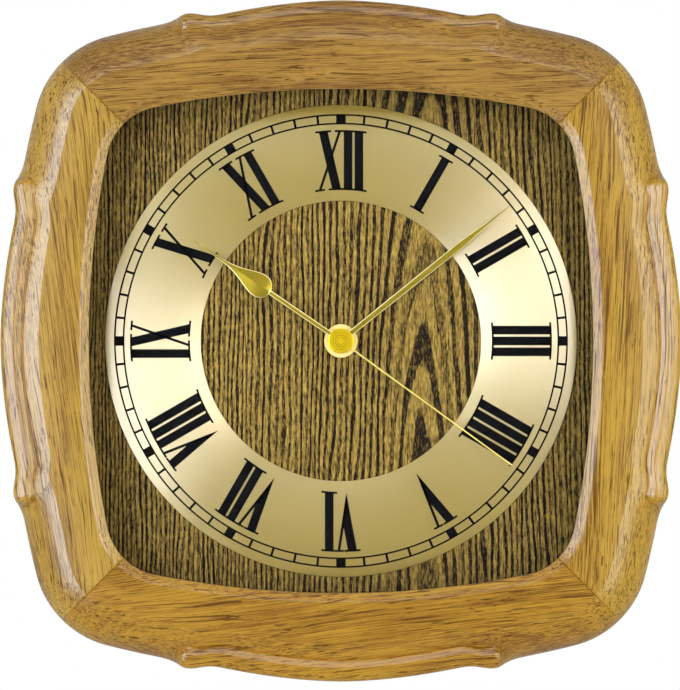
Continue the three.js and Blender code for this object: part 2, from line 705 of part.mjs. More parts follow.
function minuteTrain() {
  const { pinion: leaves, rotorWheel, wheel: teeth, cannon } = TEETH;
  const fastPhase = meshPhase(leaves, rotorWheel, Math.PI);
  const slowPhase = meshPhase(leaves, teeth, Math.PI);
  const centrePhase = meshPhase(leaves, teeth, MINUTE_LEAN + Math.PI);
  const centre = join(
    wheel(teeth, TRAIN_MODULE, LEVEL.centreWheel, centrePhase),
    pinion(cannon, MOTION_MODULE, LEVEL.cannonPinion),
    rod(CENTRE_TUBE.outer, LEVEL.centreWheel[0], CENTRE_TUBE.top, FACETS.tube));
  const centreBore = rod(CENTRE_TUBE.bore, 0, BEYOND, FACETS.coil);
  return [
    rotor("minute_rotor", PLACES.minuteRotor),
    trainPiece("minute_fast_wheel", PLACES.minuteFast, FINISH.whitePlastic,
      arbor(ARBOR.front),
      wheel(rotorWheel, TRAIN_MODULE, LEVEL.rotorWheel, fastPhase),
      pinion(leaves, TRAIN_MODULE, LEVEL.fastPinion)),
    trainPiece("minute_slow_wheel", PLACES.minuteSlow, FINISH.whitePlastic,
      arbor(ARBOR.slowFront),
      wheel(teeth, TRAIN_MODULE, LEVEL.slowWheel, slowPhase),
      pinion(leaves, TRAIN_MODULE, LEVEL.slowPinion)),
    piece("centre_wheel", cut(centre, centreBore), FINISH.whitePlastic),
  ];
}

// Motion work behind the dial: cannon pinion to motion wheel, its pinion to the hour wheel
function motionWork() {
  const { cannon, motion, motionPinion, hour } = TEETH;
  const motionForm = join(
    wheel(motion, MOTION_MODULE, LEVEL.motionWheel, meshPhase(cannon, motion, -RIGHT_ANGLE)),
    pinion(motionPinion, MOTION_MODULE, LEVEL.motionPinion));
  const hourForm = join(
    wheel(hour, MOTION_MODULE, LEVEL.hourWheel, meshPhase(motionPinion, hour, RIGHT_ANGLE)),
    rod(HOUR_TUBE.outer, LEVEL.hourWheel[0], HOUR_TUBE.top, FACETS.tube));
  const motionWheel = cut(motionForm, rod(PIVOT_HOLE, 0, BEYOND, FACETS.screw));
  const hourWheel = cut(hourForm, rod(HOUR_TUBE.bore, 0, BEYOND, FACETS.tube));
  return [
    piece("motion_wheel", motionWheel.translate(...MOTION_PLACE, 0), FINISH.whitePlastic),
    piece("hour_wheel", hourWheel, FINISH.whitePlastic),
  ];
}

// Movement housing

function caseOutline(half, corner) {
  return roundedRectangle(-half, -half, half, half, corner);
}

function caseHollow(from, to) {
  return prism(caseOutline(HOLLOW_HALF, CASE_CORNER - CASE_WALL), from, to, ARC.small);
}

// Ribs of the battery bay: a partition, two end walls and two cradles, rooted in the front wall
function bayRibs() {
  const back = COVER_INSIDE + FIT;
  const inside = HOLLOW_HALF - FIT;
  const low = BAY.high + BAY.clear;
  const high = BAY.high + BAY.rib;
  const partition = block([-inside, low, back], [inside, low + BAY.rib, CASE_ROOT]);
  const ends = [-1, 1].map((hand) => {
    const x = hand * (BAY.half + FIT + BAY.rib / 2);
    return block([x - BAY.rib / 2, BAY.low, back], [x + BAY.rib / 2, high, CASE_ROOT]);
  });
  const cradles = [-CRADLE.x, CRADLE.x].map((x) =>
    block([x - CRADLE.half, BAY.low, CRADLE.back], [x + CRADLE.half, high, CASE_ROOT]));
  return [partition, ...ends, ...cradles];
}

function frontCase() {
  const outer = prism(caseOutline(CASE_HALF, CASE_CORNER), CASE_SPLIT, CASE_FRONT, ARC.corner);
  const shell = cut(outer, caseHollow(0, CASE_INSIDE));
  const saddles = [-SADDLE.x, SADDLE.x].map((x) => block(
    [x - SADDLE.half, ANTENNA.y - SADDLE.reach, SADDLE.back],
    [x + SADDLE.half, ANTENNA.y + SADDLE.reach, CASE_ROOT]));
  const stud = rod(STUD.radius, STUD.back, CASE_ROOT, FACETS.screw, MOTION_PLACE);
  const boss = rod(PIVOT_BOSS.radius, PIVOT_BOSS.back, CASE_ROOT, FACETS.screw, PLACES.minuteSlow);
  const post = rod(POST_RADIUS, CASE_INSIDE, POST_TOP, FACETS.cap);
  const cell = rod(BATTERY.radius + FIT, -BAY.half, BAY.half, FACETS.tube);
  const antenna = rod(ANTENNA.radius + ANTENNA.clear, -HOLLOW_HALF + PROUD, HOLLOW_HALF - PROUD, FACETS.coil);
  return cut(join(shell, ...bayRibs(), ...saddles, stud, boss, post),
    rod(HOUR_TUBE.outer + HOUR_TUBE.clear, COVER_INSIDE, BEYOND, FACETS.cap),
    rod(PIVOT_HOLE, PIVOT_BOSS.boreBack, PIVOT_BOSS.boreFront, FACETS.screw, PLACES.minuteSlow),
    alongX(cell, 0, BATTERY.y, BATTERY.z),
    alongX(antenna, 0, ANTENNA.y, ANTENNA.z));
}

function rearCover() {
  const outer = caseOutline(CASE_HALF, CASE_CORNER);
  Object.values(BUTTON_PLACES).forEach((x) =>
    outer.holes.push(circleHole([x, BUTTON.y], BUTTON.radius + FIT)));
  const window = roundedRectangle(-BAY.half, BAY.low, BAY.half, BAY.high, BAY.corner);
  return cut(prism(outer, CASE_BACK, CASE_SPLIT - FIT, ARC.keyhole),
    caseHollow(COVER_INSIDE, BEYOND), prism(window, 0, BEYOND, ARC.small));
}

function plate({ back, front }) {
  const shape = roundedRectangle(PLATE.left, PLATE.low, PLATE.right, PLATE.high, PLATE.corner);
  Object.values(PLACES).forEach((place) => shape.holes.push(circleHole(place, PIVOT_HOLE)));
  return prism(shape, back, front, ARC.corner);
}

function midPlate() {
  const pillars = PILLAR.places.map((place) =>
    rod(PILLAR.radius, REAR_BRIDGE.front + FIT, CASE_INSIDE - FIT, FACETS.arbor, place));
  const motors = [PLACES.secondsRotor, PLACES.minuteRotor];
  const seats = motors.flatMap(([x, y]) => MOTOR_SEAT.rises.map((rise) =>
    rod(MOTOR_SEAT.radius, STATOR.front + FIT, MID_PLATE.back + FIT, FACETS.arbor, [x, y + rise])));
  return join(plate(MID_PLATE), ...pillars, ...seats);
}

function motor(name, [x, y], hand) {
  const { back, front, limb, coreAway, coreHalf, half, window } = STATOR;
  const span = (from, to) => [x + hand * from, x + hand * to].sort((a, b) => a - b);
  const [left, right] = span(-limb, coreAway + coreHalf);
  const [windowLeft, windowRight] = span(limb, coreAway - coreHalf);
  const shape = roundedRectangle(left, y - half, right, y + half, coreHalf);
  const opening = [[windowLeft, y - window], [windowLeft, y + window],
    [windowRight, y + window], [windowRight, y - window]];
  shape.holes.push(new THREE.Path(opening.map(([u, v]) => new THREE.Vector2(u, v))));
  shape.holes.push(circleHole([x, y], ROTOR_HOLE));
  const inner = SPOOL.half - SPOOL.flangeThick;
  const profile = [[SPOOL.bore, -SPOOL.half], [SPOOL.flange, -SPOOL.half], [SPOOL.flange, -inner],
    [SPOOL.winding, -inner], [SPOOL.winding, inner], [SPOOL.flange, inner],
    [SPOOL.flange, SPOOL.half], [SPOOL.bore, SPOOL.half], [SPOOL.bore, -SPOOL.half]];
  const coil = turned(profile, FACETS.screw).rotateX(RIGHT_ANGLE);
  coil.translate(x + hand * coreAway, y, (back + front) / 2);
  return [
    piece(`${name}_stator`, prism(shape, back, front, ARC.corner), FINISH.steel),
    piece(`${name}_coil`, coil, FINISH.copper),
  ];
}

function electronics() {
  const { left, right, low, high, corner, back, front } = CIRCUIT;
  const board = prism(roundedRectangle(left, low, right, high, corner), back, front, ARC.small);
  const { radius, half, y, z, clear, coilRadius, coilHalf } = ANTENNA;
  const core = alongX(rod(radius, -half, half, FACETS.coil), 0, y, z);
  const coil = alongX(ring(radius + clear, coilRadius, -coilHalf, coilHalf, FACETS.coil), 0, y, z);
  const can = rod(CRYSTAL.radius, -CRYSTAL.half, CRYSTAL.half, FACETS.screw);
  const crystal = alongX(can, CRYSTAL.x, CRYSTAL.y, front + FIT + CRYSTAL.radius);
  return [
    piece("circuit_board", board, FINISH.circuit),
    piece("ferrite_rod", core, FINISH.ferrite),
    piece("antenna_coil", coil, FINISH.copper),
    piece("quartz_crystal", crystal, FINISH.steel),
  ];
}

function button(name, x) {
  const { y, radius, collar, edge, back, inner } = BUTTON;
  const seat = COVER_INSIDE + FIT;
  const profile = [[0, back], [radius - edge, back], [radius, back + edge], [radius, seat],
    [collar, seat], [collar, inner], [0, inner]];
  return piece(name, turned(profile, FACETS.coil).translate(x, y, 0), FINISH.whitePlastic);
}

function battery() {
  const { radius, left, right, edge, nub, nubRadius, y, z } = BATTERY;
  const profile = [[0, left], [radius - edge, left], [radius, left + edge], [radius, right - edge],
    [radius - edge, right], [nubRadius, right], [nubRadius, right + nub], [0, right + nub]];
  return piece("battery", alongX(turned(profile, FACETS.tube), 0, y, z), FINISH.cell);
}

// A flat positive plate and a negative leaf bowed towards the cell
function batteryContacts() {
  const { right, nub, left, y, z } = BATTERY;
  const face = right + nub + FIT;
  const reach = CONTACT_PLATE.half;
  const positive = block([face, y - reach, z - reach], [face + CONTACT_PLATE.thick, y + reach, z + reach]);
  const { half, wide, thick, behind, bow } = CONTACT_LEAF;
  const front = left - behind;
  const back = front - thick;
  const leaf = new THREE.Shape();
  leaf.moveTo(front, -half);
  leaf.quadraticCurveTo(front + bow, 0, front, half);
  leaf.lineTo(back, half);
  leaf.quadraticCurveTo(back + bow, 0, back, -half);
  const negative = prism(leaf, -wide, wide).rotateX(RIGHT_ANGLE).translate(0, y, z);
  return [
    piece("battery_contact_positive", positive, FINISH.steel),
    piece("battery_contact_negative", negative, FINISH.steel),
  ];
}

function movement() {
  return [
    piece("movement_front_case", frontCase(), FINISH.blackPlastic),
    piece("movement_rear_cover", rearCover(), FINISH.blackPlastic),
    piece("mid_plate", midPlate(), FINISH.whitePlastic),
    piece("rear_bridge", plate(REAR_BRIDGE), FINISH.whitePlastic),
    ...motor("seconds_motor", PLACES.secondsRotor, -1),
    ...motor("minute_motor", PLACES.minuteRotor, 1),
    ...electronics(),
    ...Object.entries(BUTTON_PLACES).map(([name, x]) => button(name, x)),
    battery(),
    ...batteryContacts(),
  ];
}

// Assembly

function piece(name, geometry, finish) {
  const mesh = new THREE.Mesh(closed(geometry), new THREE.MeshStandardMaterial(finish));
  mesh.name = name;
  return mesh;
}

function group(...pieces) {
  const holder = new THREE.Group();
  holder.add(...pieces);
  return holder;
}

function turnedHand(pieces, clockwise) {
  const holder = group(...pieces);
  holder.rotation.z = -clockwise * DEGREE;
  return holder;
}

const clock = group(
  group(...frameRails(), ...hangerPlate(), ...hangerScrews()),
  group(...glazing(), ...dial(), ...dialScrews(), ...spindleFixings()),
  group(...movement(), ...secondsTrain(), ...minuteTrain(), ...motionWork()),
  turnedHand(hourHand(), HOUR.turn),
  turnedHand(minuteHand(), MINUTE.turn),
  turnedHand(secondHand(), SECOND.turn),
);
clock.rotation.x = RIGHT_ANGLE;
clock.position.z = -SCREW_ABOVE_SPINDLE;

export default group(clock);
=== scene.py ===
"""Radio-controlled wall clock in a carved oak frame: the surfaces, finishes and studio around its frame.

Everything is in metres. The clock hangs with +Z up and its dial facing -Y. Shapes are worked out in the
dial's own plane, x to the right, y towards twelve o'clock and z away from the wall, about the spindle.
"""

import json
import math

import bmesh
import bpy
import numpy as np
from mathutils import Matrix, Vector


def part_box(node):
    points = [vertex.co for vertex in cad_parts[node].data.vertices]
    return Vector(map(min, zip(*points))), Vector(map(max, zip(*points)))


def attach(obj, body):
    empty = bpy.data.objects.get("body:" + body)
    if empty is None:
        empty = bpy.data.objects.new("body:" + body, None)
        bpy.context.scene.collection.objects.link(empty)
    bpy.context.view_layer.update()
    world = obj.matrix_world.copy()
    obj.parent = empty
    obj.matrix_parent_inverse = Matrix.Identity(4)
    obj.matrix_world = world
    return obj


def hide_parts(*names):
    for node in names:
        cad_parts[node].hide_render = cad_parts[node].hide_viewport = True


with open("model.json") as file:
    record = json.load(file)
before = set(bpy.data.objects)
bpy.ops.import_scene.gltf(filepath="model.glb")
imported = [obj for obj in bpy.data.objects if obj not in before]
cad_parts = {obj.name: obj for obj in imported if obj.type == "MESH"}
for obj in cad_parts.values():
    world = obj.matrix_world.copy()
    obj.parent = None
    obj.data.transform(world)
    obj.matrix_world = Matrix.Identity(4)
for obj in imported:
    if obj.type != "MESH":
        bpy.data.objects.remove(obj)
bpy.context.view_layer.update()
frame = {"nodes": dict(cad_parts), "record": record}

bl_info = {
    "name": "Oak wall clock",
    "version": (1, 0, 0),
    "blender": (4, 5, 0),
    "location": "View3D > Sidebar > Clock",
    "description": "Builds the carved oak wall clock's fine surfaces and finishes on its frame",
    "category": "Object",
}


def front_of(node):
    """How far a node reaches from the wall."""
    return -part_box(node)[0].y


def back_of(node):
    """How far a node's back stands from the wall."""
    return -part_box(node)[1].y


def half_width(node):
    """Half the width of a node."""
    return (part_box(node)[1].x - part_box(node)[0].x) / 2


MM = 0.001
CASE = "clock_case"
SPINDLE_Z = sum(corner.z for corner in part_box("chapter_ring")) / 2

# The frame's outlines: half the width, the radius of the bowed sides and the radius of the corners
BODY = np.array([157.1, 450.0, 46.0]) * MM
OPENING = np.array([118.2, 445.0, 28.0]) * MM

# A rail's section: steps out from the opening, and heights from the wall
GLASS_REBATE = 6.2 * MM
DIAL_REBATE = 11.2 * MM
REBATE_FRONT = 29.3 * MM
LIP_BACK = 45.7 * MM
LIP_FRONT = 48.8 * MM
BEVEL_TOP = 51.3 * MM
CROWN = front_of("frame_rail_top")
SHOULDER_TOP = 51.2 * MM
SIDE_TOP = 26.0 * MM
BACK_CHAMFER = 1.6 * MM
BACK_INSET = 0.12 * MM
FACE_STEPS = 18
FACE_SPREAD = 1.5
FACE_ROLL = 15
GROOVE_REACH = 0.45 * MM

# The pocket for the hanger plate: its depth, its walls and the cover that the plate's ends give it
POCKET_DEPTH = 9.0 * MM
POCKET_WALL = 0.4 * MM
POCKET_COVER = 2.6 * MM

# The carving along a side, measured from the side's middle
LOBE_REACH = 54.0 * MM
LOBE_FADE_FROM = 58.0 * MM
LOBE_POWER = 1.5
EAR_PLACE = 70.6 * MM
RIM_END = 78.6 * MM
NUB_DOME = 5.0 * MM
NUB_MIDDLE = 4.8 * MM
NUB_HALF = 5.4 * MM

# Where a rail's sections lie, in degrees from the side's middle: start, end and step of each run, and then
# the places next to the mitre
STATION_RUNS = ((0, 21, 0.75), (21, 24, 0.3), (24, 29.5, 0.1), (29.5, 44.5, 0.5))
MITRE_STATIONS = (44.5, 44.7, 44.8, 44.87, 44.93, 45.0)

# The front of a rail from the end of its face, down the shoulder and over the bead: inset from the outline,
# share of the ear and lobe, height. Where there is no bead, the same steps lie on a round-over.
RIM_INSET = np.array([17.5, 14.0, 11.0, 10.6, 10.2, 9.9, 6.8, 6.2, 3.6, 1.6, 0.4, 0.0]) * MM
RIM_SHARE = np.array([0.7, 0.8, 0.97, 1.0, 1.0, 1.0, 1.0, 1.0, 1.0, 1.0, 1.0, 1.0])
RIM_HEIGHT = np.array([51.2, 49.4, 47.5, 46.6, 46.5, 47.0, 48.5, 48.6, 48.0, 46.8, 45.2, 38.0]) * MM
RIM_STEPS = 73
ROUND_OVER_START = math.radians(25)

# The four boards: clockwise turn, tone with painted light, tilt of the grain, and the step along the log from
# one to the next
SIDE_TURNS = {"top": 0, "left": 90, "bottom": 180, "right": 270}
# Painted light: the left and right boards are lighter, as the side lamps fall, and the top one darker; the
# blue follows the sheen, most on the left and least at the bottom
BOARD_PAINTED_LIGHT = {"top": (0.88, 0.86, 0.9), "left": (1.12, 1.2, 1.15), "bottom": (1.03, 0.96, 0.4),
               "right": (1.14, 1.18, 0.8)}
GRAIN_TILTS = {"top": 2.0, "left": 8.0, "bottom": 7.0, "right": -3.0}
BOARD_STEP = (0.31, 0.0, 0.17)

# The dial and its print
RING_BORE = 66.0 * MM
RING_EDGE = 0.2 * MM
VENEER_DEPTH = 0.6 * MM
MAP_REACH = 100 * MM
NUMERALS = ("XII", "I", "II", "III", "IIII", "V", "VI", "VII", "VIII", "IX", "X", "XI")
SLANT_SHARE = 1.04
V_WIDTH = 9.2 * MM
V_TIP = 5.06 * MM
V_TAPER = 0.85
X_WIDTH = 10.6 * MM
STEM_GAP = 1.0 * MM
LETTER_GAPS = {"I": 1.25 * MM, "V": 1.85 * MM, "X": 1.2 * MM}
SERIF_REACH = 1.65 * MM

# The hands: clockwise turn at rest, radius of the hub and of its bore
HAND_TURNS = {"hour": 304.3, "minute": 51.3, "second": 126.0}
HUBS = {"hour": (4.4 * MM, 2.4 * MM), "minute": (3.9 * MM, 1.3 * MM), "second": (3.2 * MM, 1.4 * MM)}
HAND_THICK = 0.4 * MM
HAND_EDGE = 0.35 * MM
HAND_EDGE_SHARE = 0.45
HAND_FOOT_SHARE = 0.35
HUB_EASE = 0.08 * MM
RIDGE_PITCH = 0.12

# How far in from a corner the middle of its rounded edge lies, as a share of the edge
EASE_SHARE = 0.3

# The radius at which a turned profile stops short of its axis
AXIS = 0.01 * MM

# Pieces that keep their solid's shape, with the width of the bevel on their edges
EASED = {"movement_front_case": 0.5 * MM, "movement_rear_cover": 0.5 * MM, "hanger_plate": 0.25 * MM,
         "central_nut": 0.2 * MM}

# Lamps: name, offset from the spindle, width and height, power, colour, and whether they light matt surfaces
# and whether metal and lacquer gleam with them
LAMPS = (
    ("left softbox", (-1.1, -1.15, 0.25), (0.8, 1.2), 8.2, "#f6f8ff", True, False),
    ("right softbox", (1.1, -1.15, 0.25), (0.8, 1.2), 8.0, "#f6f8ff", True, False),
    ("left panel", (-1.0, -0.72, 0.0), (0.6, 1.5), 30.0, "#c4dcff", False, True),
    ("right panel", (1.0, -0.72, 0.0), (0.6, 1.5), 12.5, "#d8ecff", False, True),
    ("top panel", (0.0, -0.88, 0.79), (1.4, 0.45), 9.0, "#c8dcff", False, True),
    ("left strip", (-0.74, -1.28, -0.2), (0.22, 0.7), 11.6, "#c8d4ff", False, True),
    ("right strip", (0.74, -1.28, 0.2), (0.22, 0.7), 10.8, "#d8deff", False, True),
    ("rear fill", (-0.5, 1.4, 0.5), (1.0, 1.0), 6.0, "#f6f8ff", True, True),
)
FILL_LIGHT = 0.58


def linear(code):
    """The linear colour of an sRGB hex code."""
    srgb = np.array([int(code[k:k + 2], 16) for k in (1, 3, 5)]) / 255
    return tuple(np.where(srgb <= 0.04045, srgb / 12.92, ((srgb + 0.055) / 1.055) ** 2.4))


def length(name, description, millimetres):
    """A length that a user may change."""
    return bpy.props.FloatProperty(name=name, description=description, default=millimetres * MM, min=0.0,
                                   precision=5, subtype="DISTANCE", unit="LENGTH")


def colour(name, description, code):
    """A colour that a user may change."""
    return bpy.props.FloatVectorProperty(name=name, description=description, default=linear(code), size=3,
                                         min=0.0, max=1.0, subtype="COLOR")


class ClockSizes(bpy.types.PropertyGroup):
    """Sizes of the carving, the printed dial and the hands."""

    bevel_width: length("Bevel width", "Width of the bevel round the sight opening", 3.5)
    lobe_rise: length("Lobe rise", "How far the rim bows out in the middle of a side", 2.9)
    ear_rise: length("Ear rise", "How far the ears stand out", 2.78)
    ear_width: length("Ear width", "How far an ear spreads along the side", 7.3)
    mitre_groove: length("Mitre groove", "Depth of the fine groove along each mitre", 0.7)
    numeral_top: length("Numeral top", "Radius of the outer ends of the numerals", 98.8)
    numeral_foot: length("Numeral foot", "Radius of the inner ends of the numerals", 71.5)
    thick_stroke: length("Thick stroke", "Width of the numerals' upright strokes", 4.1)
    thin_stroke: length("Thin stroke", "Width of the numerals' thin strokes", 1.3)
    serif: length("Serif", "Thickness of the serifs", 0.95)
    track_outer: length("Track outer", "Radius of the outer line of the minute track", 106.4)
    track_inner: length("Track inner", "Radius of the inner line of the minute track", 102.3)
    track_line: length("Track line", "Width of the two circles of the minute track", 0.8)
    minute_mark: length("Minute mark", "Width of a minute mark", 1.15)
    hour_block: length("Hour block", "Width of the block at every fifth minute", 4.5)
    ink: length("Ink", "Thickness of the printed ink", 0.05)
    hand_ridge: length("Hand ridge", "Most that the ridge along a hand rises", 0.9)


class ClockColours(bpy.types.PropertyGroup):
    """Colours of the finishes that show most."""

    oak_pale: colour("Pale oak", "Summer wood of the frame", "#dcae48")
    oak_deep: colour("Deep oak", "Spring wood of the frame", "#9c6a20")
    oak_pore: colour("Oak pores", "Open pores of the frame", "#5c340c")
    veneer_pale: colour("Pale veneer", "Light bands of the dial's veneer", "#8d712f")
    veneer_deep: colour("Deep veneer", "Brown bands of the dial's veneer", "#4c3410")
    veneer_line: colour("Veneer lines", "Dark lines of the dial's veneer", "#140b03")
    ring: colour("Chapter ring", "Gold dye of the anodised aluminium", "#6b5504")
    ink: colour("Ink", "Printed numerals and minute track", "#080706")
    hand: colour("Hands", "Gilt brass of the hour and minute hands", "#a08824")
    cap: colour("Cap", "Gilt brass of the second hand's cap", "#f4cc20")
    backdrop: colour("Floor", "Pale studio floor", "#e9e7e3")


def sizes():
    """The sizes in use."""
    return bpy.context.scene.clock_sizes


def colours():
    """The colours in use."""
    return bpy.context.scene.clock_colours


# Surfaces


def place(x, y, z):
    """Dial coordinates, taken about the spindle, as points of the hanging clock."""
    x, y, z = np.broadcast_arrays(x, y, z)
    return np.stack([x, -z, y + SPINDLE_Z], axis=-1)


def turned_about_spindle(x, y, clockwise):
    """x and y turned clockwise, in degrees, as seen from the front."""
    c, s = math.cos(math.radians(clockwise)), math.sin(math.radians(clockwise))
    return x * c + y * s, y * c - x * s


def grid_faces(rows, columns, round_rows=False, round_columns=False):
    """Quads of a grid numbered row by row; a round direction joins its last line to its first."""
    here = np.arange(rows * columns).reshape(rows, columns)
    right, below = np.roll(here, -1, axis=1), np.roll(here, -1, axis=0)
    quads = np.stack([here, right, np.roll(below, -1, axis=1), below], axis=-1)
    return quads[:rows if round_rows else -1, :columns if round_columns else -1].reshape(-1, 4)


def tube(points):
    """A grid of closed sections, rows x columns x 3, as points and faces with a flat cap at each end."""
    rows, columns = points.shape[:2]
    caps = [list(range(columns)), list(range((rows - 1) * columns, rows * columns))]
    return points.reshape(-1, 3), grid_faces(rows, columns, round_columns=True).tolist() + caps


def spun(profile, segments):
    """A closed profile of radius and height spun about its axis: r sin(a), r cos(a), heights and faces."""
    radius, height = np.asarray(profile).T
    angle = np.linspace(0, 2 * np.pi, segments, endpoint=False)[:, None]
    faces = grid_faces(segments, len(radius), True, True).tolist()
    return radius * np.sin(angle), radius * np.cos(angle), height, faces


def lathe(profile, segments, x=0.0, y=0.0):
    """A closed profile turned about an axis square to the dial, as points and faces."""
    aside, up, height, faces = spun(profile, segments)
    return place(x + aside, y + up, height).reshape(-1, 3), faces


def eased_corner(radius, height, inwards, downwards):
    """Three points that round off a profile's corner, from the one on its side to the one on its end."""
    return [(radius + inwards * share, height + downwards * rest)
            for share, rest in ((0, 1), (EASE_SHARE, EASE_SHARE), (1, 0))]


def joined(*shells):
    """Several shells of points and faces as one."""
    starts = np.cumsum([0] + [len(points) for points, _ in shells])
    faces = [[k + start for k in face] for start, (_, shell) in zip(starts, shells) for face in shell]
    return np.concatenate([points for points, _ in shells]), faces


def placed(name, data):
    """A new object in the scene."""
    made = bpy.data.objects.new(name, data)
    bpy.context.scene.collection.objects.link(made)
    return made


def fitted(name, mesh, material, body, nodes, crease):
    """An object that rides a body in place of some nodes, smooth but for edges past crease degrees."""
    mesh.shade_smooth()
    mesh.set_sharp_from_angle(angle=math.radians(crease))
    mesh.materials.clear()
    mesh.materials.append(material)
    piece = placed(name, mesh)
    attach(piece, body)
    if nodes:
        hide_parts(*nodes)
    return piece


def make_piece(name, shell, material, body=CASE, nodes=(), crease=30.0):
    """A piece from a shell of points and faces, with its points merged and its faces turned outwards."""
    points, faces = shell
    mesh = bpy.data.meshes.new(name)
    mesh.from_pydata(np.asarray(points).tolist(), [], faces)
    shape = bmesh.new()
    shape.from_mesh(mesh)
    bmesh.ops.remove_doubles(shape, verts=shape.verts, dist=1e-7)
    bmesh.ops.recalc_face_normals(shape, faces=shape.faces)
    shape.to_mesh(mesh)
    shape.free()
    return fitted(name, mesh, material, body, nodes, crease)


def eased_copy(node, material, width):
    """A copy of a solid with its triangles merged to plain faces and its edges rounded by a small bevel."""
    crease = 40.0
    mesh = frame["nodes"][node].data.copy()
    shape = bmesh.new()
    shape.from_mesh(mesh)
    bmesh.ops.remove_doubles(shape, verts=shape.verts, dist=1e-6)
    bmesh.ops.dissolve_limit(shape, angle_limit=math.radians(1), verts=shape.verts, edges=shape.edges)
    shape.to_mesh(mesh)
    shape.free()
    piece = fitted(node + "_eased", mesh, material, CASE, [node], crease)
    bevel = piece.modifiers.new("eased edges", "BEVEL")
    bevel.width = width
    bevel.segments = 2
    bevel.limit_method = "ANGLE"
    bevel.angle_limit = math.radians(crease)


# The carved frame


def outline_radius(outline, phi):
    """The bowed square in polar form: a side is an arc centred behind the middle, a corner an arc centred on
    the diagonal, and the two meet on one tangent. The outline's sizes may be arrays that go with phi."""
    half, side, corner = outline
    behind = half - side
    diagonal = (math.sqrt(2) * behind + np.sqrt(4 * (side - corner) ** 2 - 2 * behind ** 2)) / 2
    centre = diagonal / math.sqrt(2)
    meet = np.arctan2(centre, centre - behind)
    change = np.arctan2(side * np.sin(meet), behind + side * np.cos(meet))
    turn = np.abs(phi)
    off = np.pi / 4 - turn
    on_side = behind * np.cos(turn) + np.sqrt(side ** 2 - (behind * np.sin(turn)) ** 2)
    on_corner = diagonal * np.cos(off) + np.sqrt(np.maximum(corner ** 2 - (diagonal * np.sin(off)) ** 2, 0))
    return np.where(turn < change, on_side, on_corner)


def smoothstep(value, low, high):
    """A smooth rise from 0 at low to 1 at high."""
    t = np.clip((value - low) / (high - low), 0, 1)
    return t * t * (3 - 2 * t)


def rounded(line, steps, passes=2):
    """A line through given values, sampled evenly, with each sample averaged with its neighbours."""
    samples = np.interp(np.linspace(0, len(line) - 1, steps), np.arange(len(line)), line)
    for _ in range(passes):
        samples[1:-1] = (samples[:-2] + 2 * samples[1:-1] + samples[2:]) / 4
    return samples


def rim_bump(along):
    """How far the rim stands out: a shallow lobe in a side's middle and a bell-shaped ear at each end."""
    size = sizes()
    fade = 1 - smoothstep(along, LOBE_FADE_FROM, RIM_END)
    lobe = fade * size.lobe_rise * (1 - (along / LOBE_REACH) ** LOBE_POWER)
    return lobe + size.ear_rise * np.exp(-((along - EAR_PLACE) / size.ear_width) ** 2)


def rail_stations():
    """Turns from mitre to mitre of a rail, closest together at the ears and at the mitre grooves."""
    half = np.concatenate([np.arange(*run) for run in STATION_RUNS] + [MITRE_STATIONS])
    return np.radians(np.concatenate([-half[:0:-1], half]))


def shoulder_surface(phi):
    """The front of a rail outside its face, as radius and height over stations and steps: an elliptic
    round-over that leaves the face at an angle, and on it a bead. At each ear the bead ends in a fingertip
    nub, a quarter round that draws back towards the bead's edges."""
    inset, share, bead = (rounded(line, RIM_STEPS) for line in (RIM_INSET, RIM_SHARE, RIM_HEIGHT))
    start = math.sin(ROUND_OVER_START)
    sine = 1 - (1 - start) * inset / RIM_INSET[0]
    plain = SIDE_TOP + (SHOULDER_TOP - SIDE_TOP) * np.sqrt((1 - sine ** 2) / (1 - start ** 2))
    along = outline_radius(BODY, phi) * np.sin(np.abs(phi))
    across = np.clip((inset - NUB_MIDDLE) / NUB_HALF, -1, 1)
    end = RIM_END - NUB_HALF * (1 - np.sqrt(1 - across ** 2))
    past = np.clip((along[:, None] - end + NUB_DOME) / NUB_DOME, 0, 1)
    radius = outline_radius([whole - inset for whole in BODY], phi[:, None])
    radius = radius + share * (rim_bump(along) / np.cos(phi))[:, None]
    return radius, plain + (bead - plain) * np.sqrt(1 - past ** 2)


def hanger_pocket(phi, inner, outer, depth):
    """Radius and height of the back of a rail between its rebate and its edge, with a pocket under the hanger
    plate: its long walls are straight, y / cos(phi), and its ends lie under the plate's ends."""
    low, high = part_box("hanger_plate")
    bottom, top = low.z - SPINDLE_Z + POCKET_WALL, high.z - SPINDLE_Z - POCKET_WALL
    slope = POCKET_WALL / 10
    lines = np.array([top, top - slope, bottom + slope, bottom])
    radius = np.clip(lines / np.cos(phi)[:, None], inner, outer)
    inside = np.abs(top * np.tan(phi)) < half_width("hanger_plate") - POCKET_COVER
    floor = np.where(inside, depth, BACK_INSET)[:, None]
    brink = np.full_like(floor, BACK_INSET)
    return radius, np.concatenate([brink, floor, floor, brink], axis=1)


